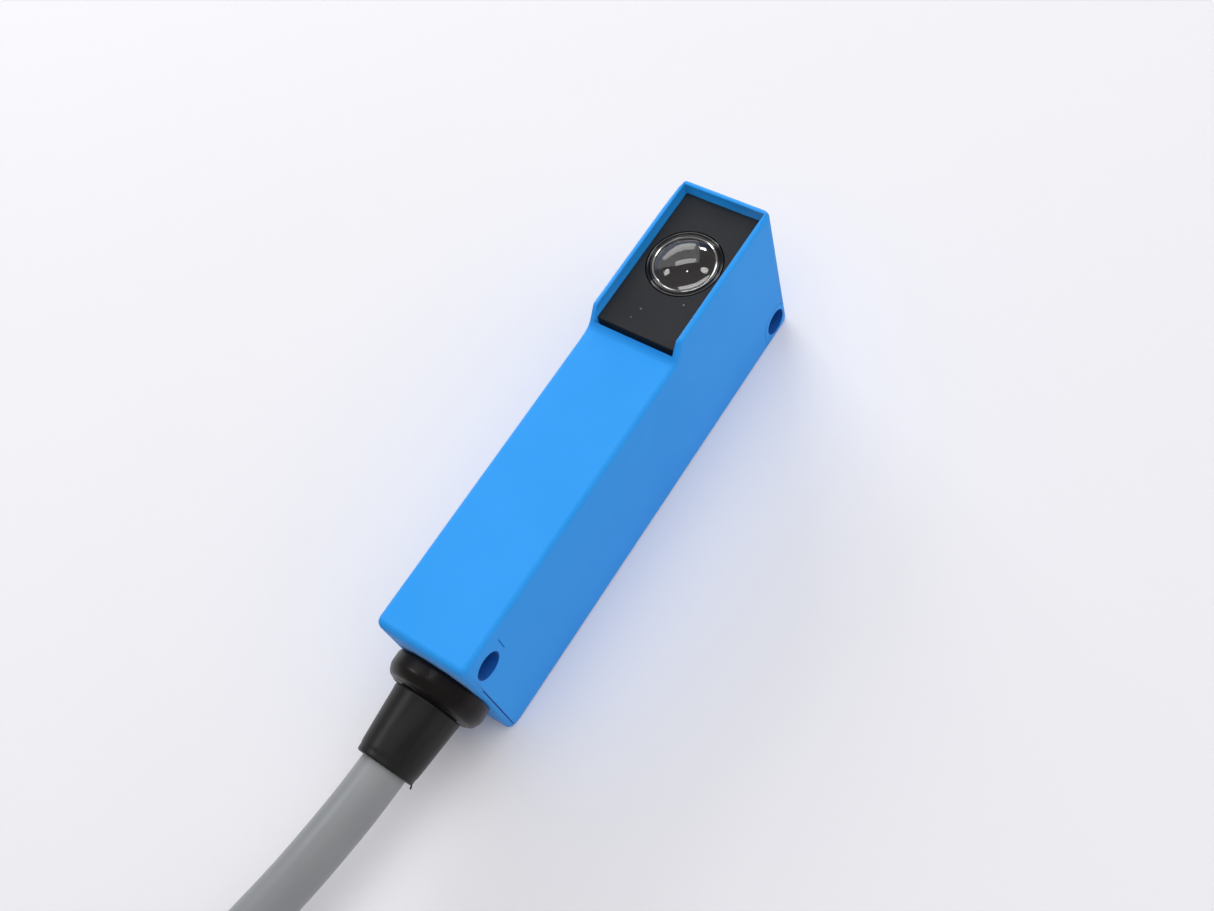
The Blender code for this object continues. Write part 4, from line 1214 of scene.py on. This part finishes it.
class SENSOR_OT_gland(bpy.types.Operator):
    """Makes the gland flange, the tapered boot and the cable inside them"""

    bl_idname = "sensor.gland"
    bl_label = "Cable gland"

    def execute(self, context):
        settings = context.scene.sensor_cord
        black = satin_black("gland_black", (0.003, 0.003, 0.003), 0.3, 0.15, 0.2)
        rubber = soft_rubber("boot_rubber", tuple(settings.rubber), 0.36)
        sheath = cable_sheath("entry_sheath", tuple(settings.sheath), 0.4)
        finished(self.flange(black), replaces=("gland_flange",))
        finished(self.boot(rubber), replaces=("strain_relief",))
        finished(self.flash(rubber))
        entry = dressed_copy("cable_entry", "cable_in_boot", sheath)
        self.shorten(entry.data)
        self.add_map(entry.data)
        return {"FINISHED"}

    def flange(self, material):
        """The round flange: a broad rounded rim with a fine ridge round its cable side."""
        outer = (FLANGE_HIGH.x - FLANGE_LOW.x) / 2
        low, high = FLANGE_LOW.y, FLANGE_HIGH.y
        bore = 0.00368
        corners = [
            (bore, high, 0.0),
            (outer - 0.0001, high, 0.4),
            (outer, high - 0.0003, 0.3),
            (outer, high - 0.0017, 0.6),
            (outer - 0.00045, low + 0.0004, 1.3),
            (outer - 0.0011, low + 0.00016, 0.5),
            (outer - 0.0013, low, 0.35),
            (outer - 0.0016, low + 0.0002, 0.3),
            (bore + 0.0006, low + 0.0002, 0.4),
            (bore, low + 0.0004, 0.0),
        ]
        profile = rounded_profile(corners, 0.0005)
        return turned_piece("flange_ring", profile, GLAND_AXIS, "Y", 112, material, 42)

    def boot(self, material):
        """The tapered boot, with a soft root fillet and a rounded lip at its end."""
        end = BOOT_LOW.y
        inside = BOOT_HIGH.y
        root = FLANGE_LOW.y - FIT_GAP
        inner = 0.00276
        neck = 0.0036
        wide = (BOOT_HIGH.x - BOOT_LOW.x) / 2
        narrow = 0.0035
        corners = [
            (inner, inside, 0.2),
            (neck, inside, 0.3),
            (neck, root, 0.2),
            (wide, root, 0.8),
            (wide - 0.0001, root - 0.0006, 0.6),
            (narrow + 0.00013, end + 0.0011, 0.7),
            (narrow + 0.00002, end + 0.0007, 0.6),
            (narrow, end, 1.3),
            (inner + 0.00018, end, 0.7),
            (inner, end + 0.0003, 0.3),
        ]
        profile = rounded_profile(corners, 0.0004)
        return turned_piece("tapered_boot", profile, GLAND_AXIS, "Y", 96, material, 42)

    def flash(self, material):
        """The small sliver of moulding flash on the boot's end."""
        end = BOOT_LOW.y
        shape = bmesh.new()
        spots = [
            (0.00318, -0.0002, -0.00125),
            (0.00345, -0.0006, -0.00105),
            (0.00368, -0.00028, -0.00085),
            (0.00352, 0.0003, -0.0006),
            (0.00328, 0.0004, -0.0009),
        ]
        ring = [shape.verts.new((x, end + y, GLAND_CENTRE.z + z)) for x, y, z in spots]
        peak = shape.verts.new((0.00366, end - 0.00018, GLAND_CENTRE.z - 0.0009))
        root = shape.verts.new((0.00325, end + 0.00012, GLAND_CENTRE.z - 0.00088))
        for i, vert in enumerate(ring):
            following = ring[(i + 1) % len(ring)]
            shape.faces.new((vert, following, peak))
            shape.faces.new((following, vert, root))
        bmesh.ops.recalc_face_normals(shape, faces=shape.faces)
        piece = new_piece("boot_flash", mesh_from("boot_flash", shape), material)
        rounded = piece.modifiers.new("rounded", "SUBSURF")
        rounded.levels = rounded.render_levels = 2
        piece.data.shade_smooth()
        return piece

    def shorten(self, mesh):
        """Ends the run of cable in the boot where the cord begins."""
        for vertex in mesh.vertices:
            vertex.co.y = max(vertex.co.y, BOOT_LOW.y + CORD_IN_BOOT)

    def add_map(self, mesh):
        """Gives the short run of cable in the boot the sheath's map."""
        layer = mesh.uv_layers.new(name="sheath")
        for loop in mesh.loops:
            co = mesh.vertices[loop.vertex_index].co
            girth = math.atan2(co.z - GLAND_CENTRE.z, co.x) / math.tau + 0.5
            layer.data[loop.index].uv = (co.y, girth)


class SENSOR_OT_inside(bpy.types.Operator):
    """Finishes the boards and the parts on them, and adds the leads of the chips"""

    bl_idname = "sensor.inside"
    bl_label = "Inside"

    def execute(self, context):
        board = circuit_board_finish("board_finish", (0.012, 0.10, 0.04), (0.03, 0.2, 0.075))
        chip = satin_black("chip_epoxy", (0.014, 0.014, 0.015), 0.55)
        metal = bare_metal("plated_metal", (0.66, 0.66, 0.67), 0.3)
        glass = satin_black("detector_package", (0.016, 0.008, 0.012), 0.12)
        clear = clear_plastic("detector_dome", (0.9, 0.88, 0.9))
        rubber = soft_rubber("seal_rubber", (0.012, 0.012, 0.013), 0.5)
        trimmer = moulded_plastic("trimmer_blue", (0.03, 0.07, 0.24), 0.4)
        lamp = lamp_plastic("indicator_amber", (0.75, 0.36, 0.03), 0.25)
        guide = clear_plastic("guide_plastic", (0.93, 0.9, 0.82))
        chips = ("controller_chip", "amplifier_chip")
        coats = [
            (board, "main_board", "end_board"),
            (chip, "board_link", "suppressor_diode", "output_transistor", "voltage_regulator"),
            (chip, *chips),
            (metal, "storage_capacitor", "cable_clamp"),
            (glass, "light_detector"),
            (clear, "detector_lens"),
            (rubber, "adjuster_seal"),
            (trimmer, "trimmer"),
            (lamp, "indicator_led"),
            (guide, "light_guide"),
        ]
        for i, (core_name, colour) in enumerate(CORES.items()):
            coats.append((insulation(f"inner_{core_name}", colour), f"inner_wire_{i + 1}"))
        for material, *nodes in coats:
            for node in nodes:
                coat(node, material)
        for node in chips:
            self.leads(node, metal)
        return {"FINISHED"}

    def leads(self, node, material):
        """A chip's two rows of leads, laid by Geometry Nodes."""
        low, high = box_of(node)
        recipe = Recipe(f"{node}_leads")
        count = recipe.size("Leads a side", CHIP_LEADS)
        pitch = recipe.size("Pitch", CHIP_LEAD_PITCH)
        gap = recipe.size("Row gap", 0.006)
        values = {"Radius": CHIP_LEAD_RADIUS, "Subdivisions": 2}
        pad = recipe.node("GeometryNodeMeshIcoSphere", values=values)
        values = {"Geometry": pad, "Scale": CHIP_LEAD_SHAPE}
        shaped = recipe.node("GeometryNodeTransform", values=values)
        one_row = recipe.copies(recipe.row(count, "Y", pitch), shaped)
        recipe.finish(recipe.copies(recipe.row(2, "X", gap), one_row), material)
        across = high.x - low.x + 2 * CHIP_LEAD_REACH
        piece = recipe.make(f"{node}_leads", material, {"Row gap": across})
        first = (low.y + high.y) / 2 - CHIP_LEAD_PITCH
        start = (low.x - CHIP_LEAD_REACH, first, BOARD_TOP + CHIP_LEAD_HEIGHT)
        piece.data.transform(Matrix.Translation(start))
        smooth(piece.data, 60)
        return finished(piece)


def coat(node, material):
    """Puts a finish on every slot of a frame node."""
    obj = bpy.data.objects[node]
    if not obj.material_slots:
        obj.data.materials.append(material)
    for slot in obj.material_slots:
        slot.material = material


class SENSOR_OT_adjuster(bpy.types.Operator):
    """Makes the turning adjuster screw"""

    bl_idname = "sensor.adjuster"
    bl_label = "Adjuster"

    def execute(self, context):
        cream = moulded_plastic("adjuster_finish", (0.62, 0.62, 0.58), 0.38, scuffs=0.3)
        dressed_copy("adjuster_screw", "adjuster_head", cream, "adjuster")
        return {"FINISHED"}


# Stage


WHITE = (1.0, 1.0, 1.0)

# Name, angle from the head's end round to the right, height angle, size, power, colour, and
# whether the lamp shows in glossy surfaces alone. The others light matte ones alone
LAMPS = [
    ("overhead_softbox", 60.0, 82.0, (1.1, 1.1), 6.15, WHITE, False),
    ("rear_softbox", -50.0, 22.0, (0.6, 0.4), 3.8, WHITE, False),
    ("right_fill", 75.0, 30.0, (0.9, 0.6), 1.2, (1.0, 0.87, 0.76), False),
    ("near_fill", 165.0, 35.0, (0.9, 0.6), 0.2, (1.0, 0.8, 0.6), False),
    ("high_window", -39.0, 62.0, (0.64, 0.18), 2.0, WHITE, True),
    ("low_window", -49.0, 14.0, (0.8, 0.54), 4.4, WHITE, True),
    ("left_lamp", -104.0, 45.0, (0.2, 0.2), 1.0, WHITE, True),
    ("right_lamp", 44.0, 53.0, (0.24, 0.24), 1.5, WHITE, True),
    ("top_spot", -40.0, 87.0, (0.06, 0.06), 0.3, WHITE, True),
    ("far_spot", -12.0, 17.0, (0.15, 0.15), 1.6, WHITE, True),
]
LAMP_DISTANCE = 0.9
ROUND_LAMP = 0.5  # a lamp that is narrower than this and as high as wide is round
# Painted light and shade on the floor: how much lighter its left side and darker its right side
# are, and over what reach along X
RIGHT_PAINTED_SHADE = 0.14
LEFT_PAINTED_LIGHT = 0.4
PAINTED_FALLOFF_REACH = 0.26
SURROUND_COLOUR = (1.0, 0.975, 0.965, 1.0)


def soft_lamp(name, aim, size, power, colour, gloss_only):
    """An area lamp that lights the lens from where it aims."""
    data = bpy.data.lights.new(name, "AREA")
    data.shape = "DISK" if size[0] == size[1] < ROUND_LAMP else "RECTANGLE"
    data.size, data.size_y = size
    data.energy = power
    data.color = colour
    lamp = bpy.data.objects.new(name, data)
    bpy.context.scene.collection.objects.link(lamp)
    lamp.location = Vector((LENS_CENTRE.x, LENS_CENTRE.y, LENS_HIGH.z)) + aim * LAMP_DISTANCE
    lamp.rotation_euler = aim.to_track_quat("Z", "Y").to_euler()
    lamp.visible_diffuse = not gloss_only
    lamp.visible_glossy = gloss_only
    lamp.visible_transmission = not gloss_only


def bearing(azimuth, elevation):
    """A direction from its angle from the head's end round to the right, and its height."""
    a, e = math.radians(azimuth), math.radians(elevation)
    return Vector((math.sin(a) * math.cos(e), math.cos(a) * math.cos(e), math.sin(e)))


class SENSOR_OT_stage(bpy.types.Operator):
    """Lays the pale floor and sets the soft studio light"""

    bl_idname = "sensor.stage"
    bl_label = "Stage"

    def execute(self, context):
        settings = context.scene.sensor_stage
        self.floor(settings)
        self.surround(context.scene, settings.surround)
        for name, azimuth, elevation, size, power, colour, gloss_only in LAMPS:
            aim = bearing(azimuth, elevation)
            soft_lamp(name, aim, size, power * settings.light_level, colour, gloss_only)
        context.scene.view_settings.view_transform = "Standard"
        return {"FINISHED"}

    def floor(self, settings):
        half = settings.floor_size / 2
        shape = bmesh.new()
        bmesh.ops.create_grid(shape, x_segments=12, y_segments=12, size=half)
        mesh = mesh_from("floor", shape)
        colour = tuple(settings.floor_colour)
        # The floor is painted lighter to the left and darker to the right: painted light and shade
        left, right = lighter(colour, LEFT_PAINTED_LIGHT), darker(colour, RIGHT_PAINTED_SHADE)
        paper = paper_floor("floor_paper", left, right, PAINTED_FALLOFF_REACH)
        new_piece("floor", mesh, paper)

    def surround(self, scene, strength):
        world = bpy.data.worlds.new("studio")
        world.use_nodes = True
        background = world.node_tree.nodes["Background"]
        background.inputs["Color"].default_value = SURROUND_COLOUR
        background.inputs["Strength"].default_value = strength
        scene.world = world


class SENSOR_PT_parts(bpy.types.Panel):
    """The sensor's pieces and their settings"""

    bl_idname = "SENSOR_PT_parts"
    bl_label = "Photoelectric Sensor"
    bl_space_type = "VIEW_3D"
    bl_region_type = "UI"
    bl_category = "Sensor"

    def draw(self, context):
        for title, settings, operators in PANEL_ROWS:
            box = self.layout.box()
            box.label(text=title)
            group = getattr(context.scene, settings)
            for name in group.__annotations__:
                box.prop(group, name)
            for name in operators:
                box.operator(name)


PANEL_ROWS = [
    ("Stage", "sensor_stage", ("sensor.camera", "sensor.stage")),
    ("Body", "sensor_body", ("sensor.housing", "sensor.panel", "sensor.optics", "sensor.adjuster")),
    ("Cable", "sensor_cord", ("sensor.cord", "sensor.gland", "sensor.inside")),
]

SETTINGS = {
    "sensor_stage": StageSettings,
    "sensor_body": BodySettings,
    "sensor_cord": CordSettings,
}

OPERATORS = [
    SENSOR_OT_camera,
    SENSOR_OT_cord,
    SENSOR_OT_stage,
    SENSOR_OT_housing,
    SENSOR_OT_panel,
    SENSOR_OT_optics,
    SENSOR_OT_gland,
    SENSOR_OT_adjuster,
    SENSOR_OT_inside,
]


def register():
    for name, group in SETTINGS.items():
        bpy.utils.register_class(group)
        setattr(bpy.types.Scene, name, bpy.props.PointerProperty(type=group))
    for operator in OPERATORS:
        bpy.utils.register_class(operator)
    bpy.utils.register_class(SENSOR_PT_parts)


def unregister():
    bpy.utils.unregister_class(SENSOR_PT_parts)
    for operator in reversed(OPERATORS):
        bpy.utils.unregister_class(operator)
    for name, group in SETTINGS.items():
        delattr(bpy.types.Scene, name)
        bpy.utils.unregister_class(group)


def main():
    register()
    for operator in OPERATORS:
        _, name = operator.bl_idname.split(".")
        getattr(bpy.ops.sensor, name)()


if __name__ == "__main__":
    main()
